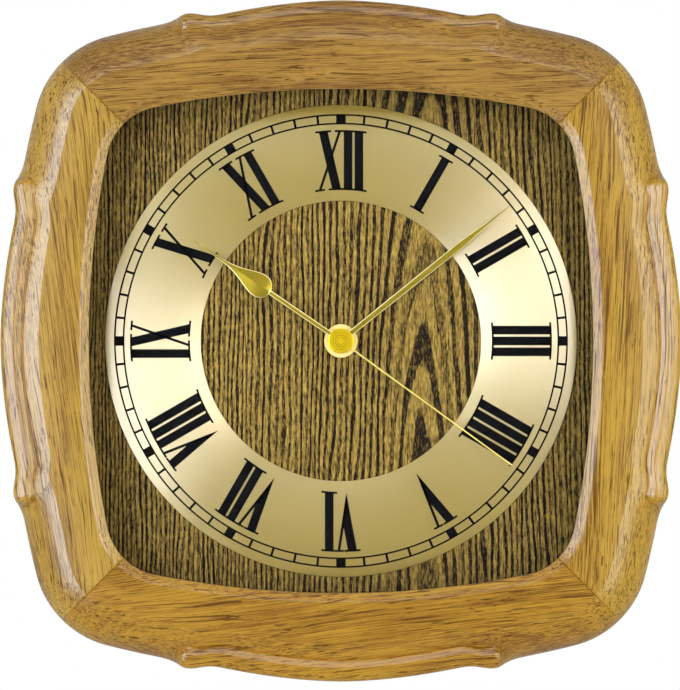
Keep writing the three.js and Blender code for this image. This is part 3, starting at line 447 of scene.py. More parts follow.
def rail_section(phi, pocket):
    """Every closed section of a rail, as radius and height over stations and points: lip, bevel, crowned face
    and shoulder, side, back and the two rebates. The front dips along each mitre."""
    size = sizes()
    opening, bevel, dial, glass = (outline_radius(OPENING + by, phi)[:, None]
                                   for by in (0, size.bevel_width, DIAL_REBATE, GLASS_REBATE))
    shoulder, shoulder_height = shoulder_surface(phi)
    t = np.linspace(0, 1, FACE_STEPS)[None, 1:-1] ** FACE_SPREAD
    face = bevel + (shoulder[:, :1] - bevel) * t
    face_height = CROWN - (CROWN - SHOULDER_TOP) * t ** 2 - (CROWN - BEVEL_TOP) * (1 - t) ** FACE_ROLL
    edge = shoulder[:, -1:]
    away = bevel * np.sin(np.pi / 4 - np.abs(phi))[:, None]
    groove = size.mitre_groove * np.clip(1 - away / GROOVE_REACH, 0, 1)
    pocket_radius, pocket_height = hanger_pocket(phi, dial, edge - BACK_CHAMFER, pocket)
    parts = [
        (opening, LIP_BACK),
        (opening, LIP_FRONT - groove),
        ((opening + bevel) / 2, (LIP_FRONT + BEVEL_TOP) / 2 - groove),
        (bevel, BEVEL_TOP - groove),
        (face, face_height - groove),
        (shoulder, shoulder_height - groove),
        (edge, SIDE_TOP / 2),
        (edge, BACK_CHAMFER),
        (edge - BACK_CHAMFER, BACK_INSET),
        (pocket_radius, pocket_height),
        (dial, BACK_INSET),
        (dial, REBATE_FRONT),
        (glass, REBATE_FRONT),
        (glass, LIP_BACK),
    ]
    pairs = [np.broadcast_arrays(radius, height) for radius, height in parts]
    return [np.concatenate(lines, axis=1) for lines in zip(*pairs)]


def rail_shell(clockwise):
    """One mitred rail: its sections carried round the spindle from mitre to mitre. The top one has the
    pocket."""
    phi = rail_stations()
    radius, height = rail_section(phi, BACK_INSET if clockwise else POCKET_DEPTH)
    x, y = turned_about_spindle(radius * np.sin(phi)[:, None], radius * np.cos(phi)[:, None], clockwise)
    return tube(place(x, y, height))


# The dial


def strip(left, right, low, high):
    """A thin closed print between two edge lines, each given as points of the dial's plane."""
    around = ((left, low), (left, high), (right, high), (right, low))
    corners = [place(*line, level) for line, level in around]
    return tube(np.stack(corners, axis=1))


def arc(radius, start, end, steps=9):
    """Points of an arc about the spindle, from start to end along it, as lengths from twelve o'clock."""
    angle = np.linspace(start, end, steps) / radius
    return radius * np.sin(angle), radius * np.cos(angle)


def numeral_strokes(text):
    """The strokes of a Roman numeral, left to right, each as steps from top to foot (0 to 1), the places of
    its left and right edges there, and whether its foot has a serif. A V's strokes run into one pointed
    foot."""
    size = sizes()
    thick, thin = size.thick_stroke, size.thin_stroke
    slant = thick * SLANT_SHARE
    ends = np.array([0.0, 1.0])
    strokes, pen = [], 0.0
    for letter, following in zip(text, text[1:] + " "):
        wide = {"I": thick, "V": V_WIDTH, "X": X_WIDTH}[letter]
        if letter == "I":
            strokes.append((ends, pen + 0 * ends, pen + thick + 0 * ends, True))
        elif letter == "V":
            meet = (wide - slant) / wide
            down = np.array([0.0, meet, 1.0])
            inner = pen + np.array([slant, slant + V_TIP * meet, V_TIP])
            strokes.append((down, pen + V_TIP * down, inner, False))
            down = np.array([0.0, V_TAPER, 1.0])
            outer = pen + wide + (V_TIP - wide) * down
            strokes.append((down, outer - thin * np.array([1, 1, 0]), outer, False))
        else:
            for stroke, way in ((slant, ends), (thin, 1 - ends)):
                left = pen + (wide - stroke) * way
                strokes.append((ends, left, left + stroke, True))
        pen += wide + (STEM_GAP if letter == following == "I" else LETTER_GAPS[letter])
    low = min(left.min() for _, left, _, _ in strokes)
    high = max(right.max() for _, _, right, _ in strokes)
    middle = (low + high) / 2
    return [(down, left - middle, right - middle, serif) for down, left, right, serif in strokes]


def numeral_shells(text, clockwise, low):
    """One numeral: straight strokes square to the dial's rim, with serifs on the rim's own arcs."""
    size = sizes()
    high = low + size.ink
    shells = []
    for down, left, right, serif in numeral_strokes(text):
        reach = size.numeral_top + (size.numeral_foot - size.numeral_top) * down
        centre = (left + right) / 2
        level = np.sqrt(reach ** 2 - centre ** 2)
        shells.append(strip(turned_about_spindle(left, level, clockwise),
                            turned_about_spindle(right, level, clockwise), low, high))
        spread = (right[0] - left[0]) / 2 + SERIF_REACH
        for radius, x in [(size.numeral_top, centre[0])] + [(size.numeral_foot, centre[-1])] * serif:
            arcs = (arc(radius + hand * size.serif / 2, x - spread, x + spread) for hand in (-1, 1))
            shells.append(strip(*(turned_about_spindle(*line, clockwise) for line in arcs), low, high))
    return shells


def track_shells(low):
    """The minute track: two circles, a mark at every minute and a block at every fifth."""
    size = sizes()
    high = low + size.ink
    shells = []
    for radius in (size.track_inner, size.track_outer):
        inner, outer = radius - size.track_line / 2, radius + size.track_line / 2
        shells.append(lathe([(inner, low), (outer, low), (outer, high), (inner, high)], segments=360))
    radii = np.array([size.track_inner, size.track_outer])
    for minute in range(60):
        half = (size.minute_mark if minute % 5 else size.hour_block) / 2
        edges = [turned_about_spindle(np.full(2, hand * half), radii, minute * 6) for hand in (-1, 1)]
        shells.append(strip(*edges, low, high))
    return shells


def ring_profile():
    """The chapter ring's profile, flat with its front edges rounded off."""
    outer, back, front = half_width("chapter_ring"), back_of("chapter_ring"), front_of("chapter_ring")
    return ([(RING_BORE, back), (outer, back)] + eased_corner(outer, front, -RING_EDGE, -RING_EDGE)
            + eased_corner(RING_BORE, front, RING_EDGE, -RING_EDGE)[::-1])


def read(items, field, width=1, kind=float):
    """One field of every item of a mesh, as rows of an array."""
    values = np.empty(len(items) * width, kind)
    items.foreach_get(field, values)
    return values.reshape(-1, width).squeeze()


def radial_map(piece):
    """A UV map whose U runs outwards from the spindle and V around it, for a finish brushed in circles."""
    mesh = piece.data
    layer = mesh.uv_layers.new(name="brushing")
    points = read(mesh.vertices, "co", 3)
    corners = read(mesh.loops, "vertex_index", kind=int)
    x, y = points[corners, 0], points[corners, 2] - SPINDLE_Z
    counts = read(mesh.polygons, "loop_total", kind=int)
    first = np.repeat(np.cumsum(counts) - counts, counts)
    start = np.arctan2(x[first], y[first])
    angle = start + np.angle(np.exp(1j * (np.arctan2(x, y) - start)))
    layer.data.foreach_set("uv", np.stack([np.hypot(x, y) / MAP_REACH, angle / (2 * np.pi)], 1).ravel())


# The hands


def bezier(start, first, second, end, steps):
    """Points of a cubic curve with two control points."""
    t = np.linspace(0, 1, steps)[:, None]
    start, first, second, end = (np.array(p) for p in (start, first, second, end))
    return (1 - t) ** 3 * start + 3 * t * (1 - t) ** 2 * first + 3 * t ** 2 * (1 - t) * second + t ** 3 * end


def spade_edge():
    """Half width and reach of the hour hand: a stem, a pear shape of two curves, and a needle."""
    stem = np.linspace((1.05, 3.2), (1.05, 40.6), 12)
    swell = bezier((1.05, 40.6), (3.6, 40.9), (5.65, 43.2), (5.65, 46.3), 18)
    draw_in = bezier((5.65, 46.3), (5.65, 51.5), (1.5, 56), (0.75, 66), 24)
    needle = np.linspace((0.75, 66), (0.06, 85.7), 10)
    return np.concatenate([stem, swell[1:], draw_in[1:], needle[1:]]) * MM


def lance_edge():
    """Half width and reach of the minute hand: widening to two thirds of its length, then a point."""
    blade = np.linspace((1.2, 2.4), (1.6, 73), 20)
    point = np.linspace((1.6, 73), (0.06, 101.8), 14)
    return np.concatenate([blade, point[1:]]) * MM


def needle_edge():
    """Half width and reach of the second hand: an even needle."""
    return np.concatenate([np.linspace((0.45, 2.2), (0.3, 99), 12), [(0.08, 99.5)]]) * MM


def hand_shell(edge, name):
    """A hand: a section with bevelled edges and a faint ridge carried along its length, with its hub as a
    ring."""
    half, reach = edge.T
    back = back_of(f"{name}_hand")
    hub, bore = HUBS[name]
    flat = half - np.minimum(HAND_EDGE, half * HAND_EDGE_SHARE)
    low, top = back + HAND_THICK * HAND_FOOT_SHARE, back + HAND_THICK
    crest = top + np.minimum(flat * RIDGE_PITCH, sizes().hand_ridge)
    across = np.stack([-half, -half, -flat, 0 * half, flat, half, half], axis=1)
    levels = np.broadcast_arrays(back, low, top, crest, top, low, back)
    x, y = turned_about_spindle(across, reach[:, None], HAND_TURNS[name])
    ring = [(bore, back), (hub, back), (hub, top - HUB_EASE), (hub - HUB_EASE, top), (bore, top)]
    return joined(tube(place(x, y, np.stack(levels, axis=1))), lathe(ring, segments=64))


def cap_profile():
    """The second hand's cap: a boss on the arbor under a turned disc with a round edge and a centre pin in a
    fine groove."""
    node = "second_hand_cap"
    back, front, radius = back_of(node), front_of(node), half_width(node)
    bore, boss, disc = 0.6 * MM, 1.1 * MM, front - 1.3 * MM
    chamfer, edge = 0.1 * MM, 0.28 * MM
    bend = np.linspace(0, np.pi / 2, 7)
    rim = [(radius - edge + edge * math.cos(a), front - edge + edge * math.sin(a)) for a in bend]
    pin_radius_and_depth = ((0.75, 0.03), (0.62, 0.12), (0.48, 0.12), (0.4, 0.0), (0.001, 0.0), (0.001, 0.5),
                            (0.6, 0.6))
    pin = [(out * MM, front - down * MM) for out, down in pin_radius_and_depth]
    return ([(bore, back), (boss, back), (boss, disc), (radius - chamfer, disc), (radius, disc + chamfer)]
            + rim + pin)


# Nodes of a finish


def add(tree, kind, settings=None, inputs=None):
    """Adds one node with its own settings and its inputs, as values or as outputs to link. A colour of three
    values is opaque."""
    made = tree.nodes.new(kind)
    for key, value in (settings or {}).items():
        setattr(made, key, value)
    for key, value in (inputs or {}).items():
        socket = made.inputs[key]
        if isinstance(value, bpy.types.NodeSocket):
            tree.links.new(value, socket)
        elif socket.type == "RGBA" and len(value) == 3:
            socket.default_value = (*value, 1)
        else:
            socket.default_value = value
    return made


def new_finish(name):
    """An empty material, and its tree."""
    material = bpy.data.materials.new(name)
    material.use_nodes = True
    material.node_tree.nodes.clear()
    return material, material.node_tree


def showing(material, shader):
    """The material, with a shader sent to its output."""
    add(material.node_tree, "ShaderNodeOutputMaterial", inputs={"Surface": shader.outputs[0]})
    return material


def principled(tree, inputs):
    """A principled surface."""
    return add(tree, "ShaderNodeBsdfPrincipled", inputs=inputs)


def surfaced(material, inputs):
    """The material, with a principled surface sent to its output."""
    return showing(material, principled(material.node_tree, inputs))


def mixed(tree, share, first, second):
    """Two shaders in a mix."""
    return add(tree, "ShaderNodeMixShader", inputs={0: share, 1: first.outputs[0], 2: second.outputs[0]})


def object_place(tree):
    """An object's own coordinates, which are the clock's."""
    return add(tree, "ShaderNodeTexCoord").outputs["Object"]


def mapped(tree, vector, location=(0, 0, 0), rotation=(0, 0, 0), scale=(1, 1, 1)):
    """Coordinates scaled, turned and moved."""
    return add(tree, "ShaderNodeMapping", inputs={
        "Vector": vector, "Location": location, "Rotation": rotation, "Scale": scale}).outputs[0]


def axes(tree, vector):
    """A vector's X, Y and Z."""
    return add(tree, "ShaderNodeSeparateXYZ", inputs={0: vector}).outputs


def noise(tree, vector, cell, detail=2.0):
    """Noise whose cells have a given size."""
    return add(tree, "ShaderNodeTexNoise", inputs={
        "Vector": vector, "Scale": 1 / cell, "Detail": detail}).outputs


def fibres(tree, vector, along, across, detail=2.0):
    """Noise whose cells have a length along the grain, x, and a width across it."""
    return noise(tree, mapped(tree, vector, scale=(1 / along, 1 / across, 1 / across)), 1.0, detail)


def remap(tree, value, low, high, start=0.0, end=1.0, **settings):
    """A value that runs from start to end, carried to low and high."""
    return add(tree, "ShaderNodeMapRange", settings, {
        "Value": value, "From Min": start, "From Max": end, "To Min": low, "To Max": high}).outputs[0]


def maths(tree, operation, *values, clamp=False):
    """A calculation with numbers."""
    return add(tree, "ShaderNodeMath", {"operation": operation, "use_clamp": clamp},
               dict(enumerate(values))).outputs[0]


def distance(tree, vector):
    """The length of a vector."""
    return add(tree, "ShaderNodeVectorMath", {"operation": "LENGTH"}, {0: vector}).outputs["Value"]


def from_spindle(tree, vector):
    """The distance from the spindle, whatever the depth."""
    return distance(tree, mapped(tree, vector, location=(0, 0, -SPINDLE_Z), scale=(1, 0, 1)))


def warped(tree, vector, noise_colour, reach):
    """Coordinates pushed aside by noise, as far as reach says in each direction."""
    return add(tree, "ShaderNodeVectorMath", {"operation": "MULTIPLY_ADD"},
               {0: noise_colour, 1: reach, 2: vector}).outputs[0]


def shaded(tree, tone, level):
    """A colour made darker or lighter by a level."""
    return add(tree, "ShaderNodeVectorMath", {"operation": "SCALE"}, {0: tone, "Scale": level}).outputs[0]


def blend(tree, share, first, second):
    """One colour run into another."""
    return add(tree, "ShaderNodeMix", {"data_type": "RGBA"}, {0: share, 6: first, 7: second}).outputs[2]


def ramp(tree, value, stops, interpolation="LINEAR"):
    """A value as colours, through stops of a position and a colour or a grey level."""
    made = add(tree, "ShaderNodeValToRGB", inputs={"Fac": value})
    made.color_ramp.interpolation = interpolation
    elements = made.color_ramp.elements
    for k, (position, tone) in enumerate(stops):
        stop = elements[k] if k < 2 else elements.new(position)
        stop.position = position
        stop.color = (*np.broadcast_to(tone, 3).tolist(), 1)
    return made.outputs["Color"]


def relief(tree, height, depth, strength, invert=False):
    """A normal bent by a fine relief of some depth."""
    return add(tree, "ShaderNodeBump", {"invert": invert}, {
        "Strength": strength, "Distance": depth, "Height": height}).outputs[0]


# Finishes


def lacquered_oak(side, clockwise, tone):
    """Flat-sawn European oak, planed, carved and lacquered to a satin gloss: honey bands of spring and summer
    wood along the rail, fine fibre streaks, open pores and long dark veins, under a clear film that the pores
    break."""
    tint = colours()
    material, tree = new_finish(f"satin lacquered oak {side}")
    turn = math.radians((90 if side in ("left", "right") else 0) + GRAIN_TILTS[side])
    from_log = tuple(np.multiply(BOARD_STEP, clockwise / 90))
    board = mapped(tree, object_place(tree), from_log, (0, turn, 0))
    slow = fibres(tree, board, 130 * MM, 34 * MM)["Color"]
    drift = warped(tree, board, slow, (0, 16 * MM, 16 * MM))
    pith = mapped(tree, drift, location=(0, 0.11, 0.05), scale=(0, 1, 1))
    ring_width = 3.4 * MM
    year = maths(tree, "FRACT", maths(tree, "MULTIPLY", distance(tree, pith), 1 / ring_width))
    spring = ramp(tree, year, ((0, 0.95), (0.22, 0.6), (0.5, 0.18), (0.86, 0.05), (1, 0.8)))
    fibre = fibres(tree, board, 32 * MM, 0.45 * MM)["Fac"]
    streak = remap(tree, fibre, -0.3, 0.58, 0.35, 0.65, clamp=False)
    patch = fibres(tree, board, 90 * MM, 14 * MM)["Fac"]
    sway = maths(tree, "ADD", streak, remap(tree, patch, -0.34, 0.38, 0.3, 0.7))
    spring_share = 0.35
    depth = maths(tree, "MULTIPLY_ADD", spring, spring_share, sway, clamp=True)
    # The board's tone paints light and sheen: lighter side boards, a darker top, a bottom with little blue
    pale, deep = (tuple(np.multiply(tone, wood)) for wood in (tint.oak_pale, tint.oak_deep))
    wood = blend(tree, depth, pale, deep)
    short = fibres(tree, board, 6.5 * MM, 0.42 * MM)["Fac"]
    pore = remap(tree, short, 0.0, 0.72, 0.575, 0.64, interpolation_type="SMOOTHSTEP")
    pores = maths(tree, "MULTIPLY", pore, remap(tree, depth, 0.3, 1.0))
    long = fibres(tree, drift, 85 * MM, 0.9 * MM)["Fac"]
    vein = remap(tree, long, 0.0, 0.75, 0.59, 0.64, interpolation_type="SMOOTHSTEP")
    open_grain = maths(tree, "MAXIMUM", pores, vein)
    return surfaced(material, {
        "Base Color": blend(tree, open_grain, wood, tint.oak_pore), "Roughness": 0.6,
        "Specular IOR Level": 0.0, "Coat Weight": remap(tree, open_grain, 1.0, 0.4), "Coat Roughness": 0.3,
        "Coat IOR": 1.46,
        "Normal": relief(tree, open_grain, 0.12 * MM, 0.5, invert=True)})


def dark_veneer():
    """Smoked oak veneer, sliced flat and oiled: upright dark lines broken into pores, with a flame figure
    right of the middle, on tan bands, and darkened outside the ring by painted shade from the frame. Behind
    it the board is plain brown fibreboard."""
    tint = colours()
    material, tree = new_finish("smoked oak veneer")
    at = object_place(tree)
    grain = mapped(tree, at, (-SPINDLE_Z, 0, 33 * MM), (0, math.radians(90), 0))
    slow = fibres(tree, grain, 140 * MM, 24 * MM)["Color"]
    drift = warped(tree, grain, slow, (60 * MM, 0, 11 * MM))
    quick = fibres(tree, grain, 24 * MM, 3 * MM, 3.0)["Color"]
    wobble = axes(tree, warped(tree, drift, quick, (0, 0, 2.4 * MM)))
    flame_slope, flame_foot = 0.085, 13 * MM
    rise = maths(tree, "MULTIPLY_ADD", wobble["X"], flame_slope, flame_foot)
    flame = add(tree, "ShaderNodeCombineXYZ", inputs={0: rise, 1: wobble["Z"]}).outputs[0]
    ring_width, crowding = 5.98 * MM, 1.26
    rings = maths(tree, "POWER", maths(tree, "MULTIPLY", distance(tree, flame), 1 / ring_width), crowding)
    year = maths(tree, "FRACT", rings)
    line = ramp(tree, year, ((0, 1.0), (0.34, 1.0), (0.42, 0.1), (0.88, 0.0), (0.97, 1.0)))
    plain = remap(tree, maths(tree, "ABSOLUTE", wobble["Z"]), 0.85, 1.0, 6 * MM, 30 * MM)
    chance = add(tree, "ShaderNodeTexWhiteNoise", {"noise_dimensions": "1D"},
                 {"W": maths(tree, "FLOOR", rings)}).outputs["Value"]
    weight = maths(tree, "MULTIPLY", remap(tree, chance, 0.65, 1.25), plain)
    lines = maths(tree, "MULTIPLY", line, weight)
    rays = fibres(tree, grain, 14 * MM, 0.6 * MM, 3.0)["Fac"]
    both_lines = maths(tree, "MAXIMUM", lines, remap(tree, rays, 0.0, 0.8, 0.5, 0.7))
    dash = fibres(tree, grain, 2.6 * MM, 0.6 * MM)["Fac"]
    dark = maths(tree, "ADD", both_lines, remap(tree, dash, -0.42, 0.46, 0.3, 0.7, clamp=False), clamp=True)
    fibre = fibres(tree, grain, 5 * MM, 1.0 * MM, 3.0)["Fac"]
    bands = blend(tree, remap(tree, fibre, 0.0, 0.9, 0.36, 0.7), tint.veneer_pale, tint.veneer_deep)
    face = blend(tree, dark, bands, tint.veneer_line)
    # Painted shade: outside the ring the veneer is darkened where the frame's recess shades it
    frame_shade_start, frame_shade_end = 108 * MM, 114 * MM
    frame_shade = remap(tree, from_spindle(tree, at), 1.0, 0.8, frame_shade_start, frame_shade_end)
    veneered = maths(tree, "LESS_THAN", axes(tree, at)["Y"], VENEER_DEPTH - front_of("dial_board"))
    speck = noise(tree, at, 1.2 * MM, 3.0)["Fac"]
    board = ramp(tree, speck, ((0.3, linear("#6b4c2c")), (0.7, linear("#8c6840"))))
    return surfaced(material, {
        "Base Color": blend(tree, veneered, board, shaded(tree, face, frame_shade)), "Roughness": 0.62, "IOR": 1.46,
        "Specular IOR Level": 0.04, "Normal": relief(tree, dark, 0.1 * MM, 0.35, invert=True)})


def anodised_gold():
    """Aluminium sheet brushed in circles and anodised gold: a matt gold dye, and on it the bare glint of fine
    concentric lines, which throws pale fans towards lights on either side. The lines are drawn coarser than
    real brushing, so that they show."""
    material, tree = new_finish("gold anodised aluminium, circular brushed")
    spread = add(tree, "ShaderNodeUVMap", {"uv_map": "brushing"}).outputs[0]
    line_width, lines_around, glint = 0.35 * MM, 6, 0.24
    brushing = noise(tree, mapped(tree, spread, scale=(MAP_REACH / line_width, lines_around, 1)), 1.0)["Fac"]
    outwards = add(tree, "ShaderNodeTangent", {"direction_type": "UV_MAP", "uv_map": "brushing"}).outputs[0]
    dye = principled(tree, {
        "Base Color": shaded(tree, tuple(colours().ring), remap(tree, brushing, 0.94, 1.06, 0.3, 0.7)),
        "Roughness": 0.5, "Specular IOR Level": 0.0})
    metal = principled(tree, {
        "Base Color": linear("#fdeabc"), "Metallic": 1.0, "Anisotropic": 0.85, "Tangent": outwards,
        "Roughness": remap(tree, brushing, 0.33, 0.4, 0.3, 0.7)})
    return showing(material, mixed(tree, glint, dye, metal))


def printing_ink():
    """Screen-printed black ink, a little uneven: a matt film on the metal."""
    material, tree = new_finish("screen printed black ink")
    film = noise(tree, object_place(tree), 1.5 * MM)["Fac"]
    return surfaced(material, {
        "Base Color": colours().ink, "Roughness": remap(tree, film, 0.42, 0.6), "Specular IOR Level": 0.02})


def mark_highlit_bevels(piece):
    """Marks a hand's bevels, the front faces that lean, in a face attribute that carries their painted
    highlight.
    """
    mesh = piece.data
    forward = -read(mesh.polygons, "normal", 3)[:, 1]
    layer = mesh.attributes.new("cut", "FLOAT", "FACE")
    steepest, flattest = 0.3, 0.95
    layer.data.foreach_set("value", ((forward > steepest) & (forward < flattest)).astype(float))


def gilt_brass(name, tone, roughness, cut=None):
    """Stamped or turned brass, gilt and lacquered: a warm metal with faint marks in circles about the
    spindle, drawn coarser than a real tool leaves them. Cut edges may have a pale tone, a painted highlight."""
    material, tree = new_finish(name)
    pitch = 0.5 * MM
    marks = add(tree, "ShaderNodeTexNoise", {"noise_dimensions": "1D"}, {
        "W": from_spindle(tree, object_place(tree)), "Scale": 1 / pitch, "Detail": 2.0}).outputs["Fac"]
    shade = shaded(tree, tuple(tone), remap(tree, marks, 0.9, 1.1))
    if cut:
        edge = add(tree, "ShaderNodeAttribute", {"attribute_name": "cut"}).outputs["Fac"]
        shade = blend(tree, edge, shade, cut)
    return surfaced(material, {
        "Base Color": shade, "Metallic": 1.0,
        "Roughness": remap(tree, marks, roughness * 0.85, roughness * 1.15)})


def float_glass():
    """Float glass with a low-glare finish: clear, and lamps light what is behind it."""
    material, tree = new_finish("low-glare float glass")
    glass = principled(tree, {
        "Base Color": linear("#fdfdfc"), "Roughness": 0.0, "IOR": 1.08, "Transmission Weight": 1.0})
    clear = add(tree, "ShaderNodeBsdfTransparent")
    lamp = add(tree, "ShaderNodeLightPath").outputs["Is Shadow Ray"]
    return showing(material, mixed(tree, lamp, glass, clear))


def plated(name, code, roughness, pitch):
    """Rolled sheet or turned steel, plated: a cool metal with cloudy wear."""
    material, tree = new_finish(name)
    cloud = noise(tree, object_place(tree), pitch, 4.0)["Fac"]
    return surfaced(material, {
        "Base Color": shaded(tree, linear(code), remap(tree, cloud, 0.8, 1.15)), "Metallic": 1.0,
        "Roughness": remap(tree, cloud, roughness * 0.7, roughness * 1.35)})


def moulded(name, code, roughness, pitch, depth):
    """Injection-moulded plastic or pressed board: one colour that drifts a little, with the tool's grain."""
    material, tree = new_finish(name)
    at = object_place(tree)
    grain = noise(tree, at, pitch)["Fac"]
    cloud = noise(tree, at, 12 * MM)["Fac"]
    return surfaced(material, {
        "Base Color": shaded(tree, linear(code), remap(tree, cloud, 0.85, 1.15)),
        "Roughness": remap(tree, grain, roughness * 0.85, roughness * 1.15), "IOR": 1.5,
        "Normal": relief(tree, grain, depth, 0.5)})


def wound_copper():
    """Enamelled copper wire in close turns: fine ridges, drawn as coarse as they need to show."""
    material, tree = new_finish("enamelled copper winding")
    pitch, waves_per_unit = 0.5 * MM, math.pi / 10
    turns = add(tree, "ShaderNodeTexWave", {"bands_direction": "X"}, {
        "Vector": object_place(tree), "Scale": waves_per_unit / pitch, "Distortion": 0.4}).outputs["Fac"]
    return surfaced(material, {
        "Base Color": ramp(tree, turns, ((0, linear("#7c421f")), (1, linear("#c9814e")))), "Metallic": 1.0,
        "Roughness": 0.35, "Normal": relief(tree, turns, 0.15 * MM, 0.6)})


def solder_mask():
    """Green solder mask over copper tracks on a circuit board: a glossy green with darker lines."""
    material, tree = new_finish("green solder mask")
    tracks = add(tree, "ShaderNodeTexBrick", {"offset": 0.5}, {
        "Vector": mapped(tree, object_place(tree), rotation=(math.pi / 2, 0, 0)), "Scale": 1.0,
        "Brick Width": 5 * MM, "Row Height": 1.6 * MM, "Mortar Size": 0.25 * MM,
        "Color1": linear("#1c5a34"), "Color2": linear("#226a3d"), "Mortar": linear("#123f25")})
    return surfaced(material, {
        "Base Color": tracks.outputs["Color"], "Roughness": 0.35, "Coat Weight": 0.3})


def cell_jacket():
    """A dry cell's shrink wrap, slate grey with a silver band at its positive end, over bright steel."""
    material, tree = new_finish("shrink-wrapped dry cell")
    at = object_place(tree)
    low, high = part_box("battery")
    share = remap(tree, axes(tree, at)["X"], 0.0, 1.0, low.x, high.x)
    cell_length = 50.4
    wrap_start, band_start, band_end = np.array([0.8, 36.0, 47.9]) / cell_length
    steel, wrap, band = linear("#c9cac8"), linear("#3a4652"), linear("#a9adae")
    tones = ((0, steel), (wrap_start, wrap), (band_start, band), (band_end, steel))
    metals = ((0, 1.0), (wrap_start, 0.0), (band_start, 0.6), (band_end, 1.0))
    cloud = noise(tree, at, 6 * MM)["Fac"]
    return surfaced(material, {
        "Base Color": ramp(tree, share, tones, "CONSTANT"), "Metallic": ramp(tree, share, metals, "CONSTANT"),
        "Roughness": remap(tree, cloud, 0.25, 0.4)})


def finish_for_slot():
    """A finish for each of the record's material slots that carried-over solids use."""
    return {
        "glass": float_glass(),
        "fibre": moulded("dark pressed fibreboard", "#2a241c", 0.8, 0.6 * MM, 0.06 * MM),
        "veneer": dark_veneer(),
        "brass": gilt_brass("turned brass", linear("#c9a94e"), 0.3),
        "steel": plated("plain mild steel", "#b0b2b3", 0.35, 3 * MM),
        "zinc": plated("zinc plated steel", "#b9b6a6", 0.38, 4 * MM),
        "black_plastic": moulded("black ABS, spark-eroded tool", "#1d1d1f", 0.55, 0.45 * MM, 0.05 * MM),
        "white_plastic": moulded("natural acetal", "#e4e0d4", 0.42, 0.8 * MM, 0.02 * MM),
        "rubber": moulded("black rubber", "#151515", 0.85, 0.5 * MM, 0.04 * MM),
        "ferrite": moulded("sintered ferrite", "#2d2c2e", 0.6, 0.4 * MM, 0.04 * MM),
        "copper": wound_copper(),
        "circuit": solder_mask(),
        "cell": cell_jacket(),
    }


def dress(node, material):
    """Gives a carried-over solid a finish, in its object's own material slots."""
    for slot in frame["nodes"][node].material_slots:
        slot.material = material


# Operators


class CLOCK_OT_frame(bpy.types.Operator):
    """Carve the four mitred rails of the oak frame"""

    bl_idname = "clock.frame_rails"
    bl_label = "Frame rails"

    def execute(self, context):
        for side, turn in SIDE_TURNS.items():
            oak = lacquered_oak(side, turn, BOARD_PAINTED_LIGHT[side])
            make_piece(f"oak_rail_{side}", rail_shell(-turn), oak, nodes=[f"frame_rail_{side}"],
                       crease=10.0)
        return {"FINISHED"}


class CLOCK_OT_dial(bpy.types.Operator):
    """Make the brushed chapter ring and print its numerals and minute track"""

    bl_idname = "clock.dial"
    bl_label = "Dial"

    def execute(self, context):
        ring = make_piece("brushed_chapter_ring", lathe(ring_profile(), segments=360), anodised_gold(),
                          nodes=["chapter_ring"])
        radial_map(ring)
        ink = printing_ink()
        low = front_of("chapter_ring")
        numerals = [shell for hour, text in enumerate(NUMERALS)
                    for shell in numeral_shells(text, hour * 30, low)]
        make_piece("printed_numerals", joined(*numerals), ink)
        make_piece("printed_minute_track", joined(*track_shells(low)), ink)
        return {"FINISHED"}


class CLOCK_OT_hands(bpy.types.Operator):
    """Make the three hands, the second hand's cap and the washer under them"""

    bl_idname = "clock.hands"
    bl_label = "Hands"

    def execute(self, context):
        tint = colours()
        # The hands' cut bevels get a pale tone: a painted highlight along their edges
        gilt = gilt_brass("gilt brass, satin, cut edges with painted highlight", tint.hand, 0.3, linear("#f6e6a0"))
        bright = gilt_brass("gilt brass, bright turned", tint.cap, 0.28)
        pale = gilt_brass("pale brass, tumbled", linear("#ecd078"), 0.4)
        light = gilt_brass("gilt brass, pale polished", linear("#fde878"), 0.3)
        for name, edge, metal in (("hour", spade_edge(), gilt), ("minute", lance_edge(), gilt),
                                  ("second", needle_edge(), light)):
            hand = make_piece(f"ridged_{name}_hand", hand_shell(edge, name), metal,
                              f"{name}s_assembly", [f"{name}_hand"], crease=12.0)
            mark_highlit_bevels(hand)
        make_piece("turned_cap", lathe(cap_profile(), segments=96), bright,
                   "seconds_assembly", ["second_hand_cap"])
        make_piece("pale_washer", lathe(self.washer_profile(), segments=96), pale,
                   nodes=["fixing_washer"])
        return {"FINISHED"}

    def washer_profile(self):
        """The washer under the hands, with its front edge chamfered."""
        back, front = back_of("fixing_washer"), front_of("fixing_washer")
        bore, radius, edge = 4.35 * MM, 7.85 * MM, 0.15 * MM
        return [(bore, back), (radius, back), (radius, front - edge), (radius - edge, front), (bore, front)]


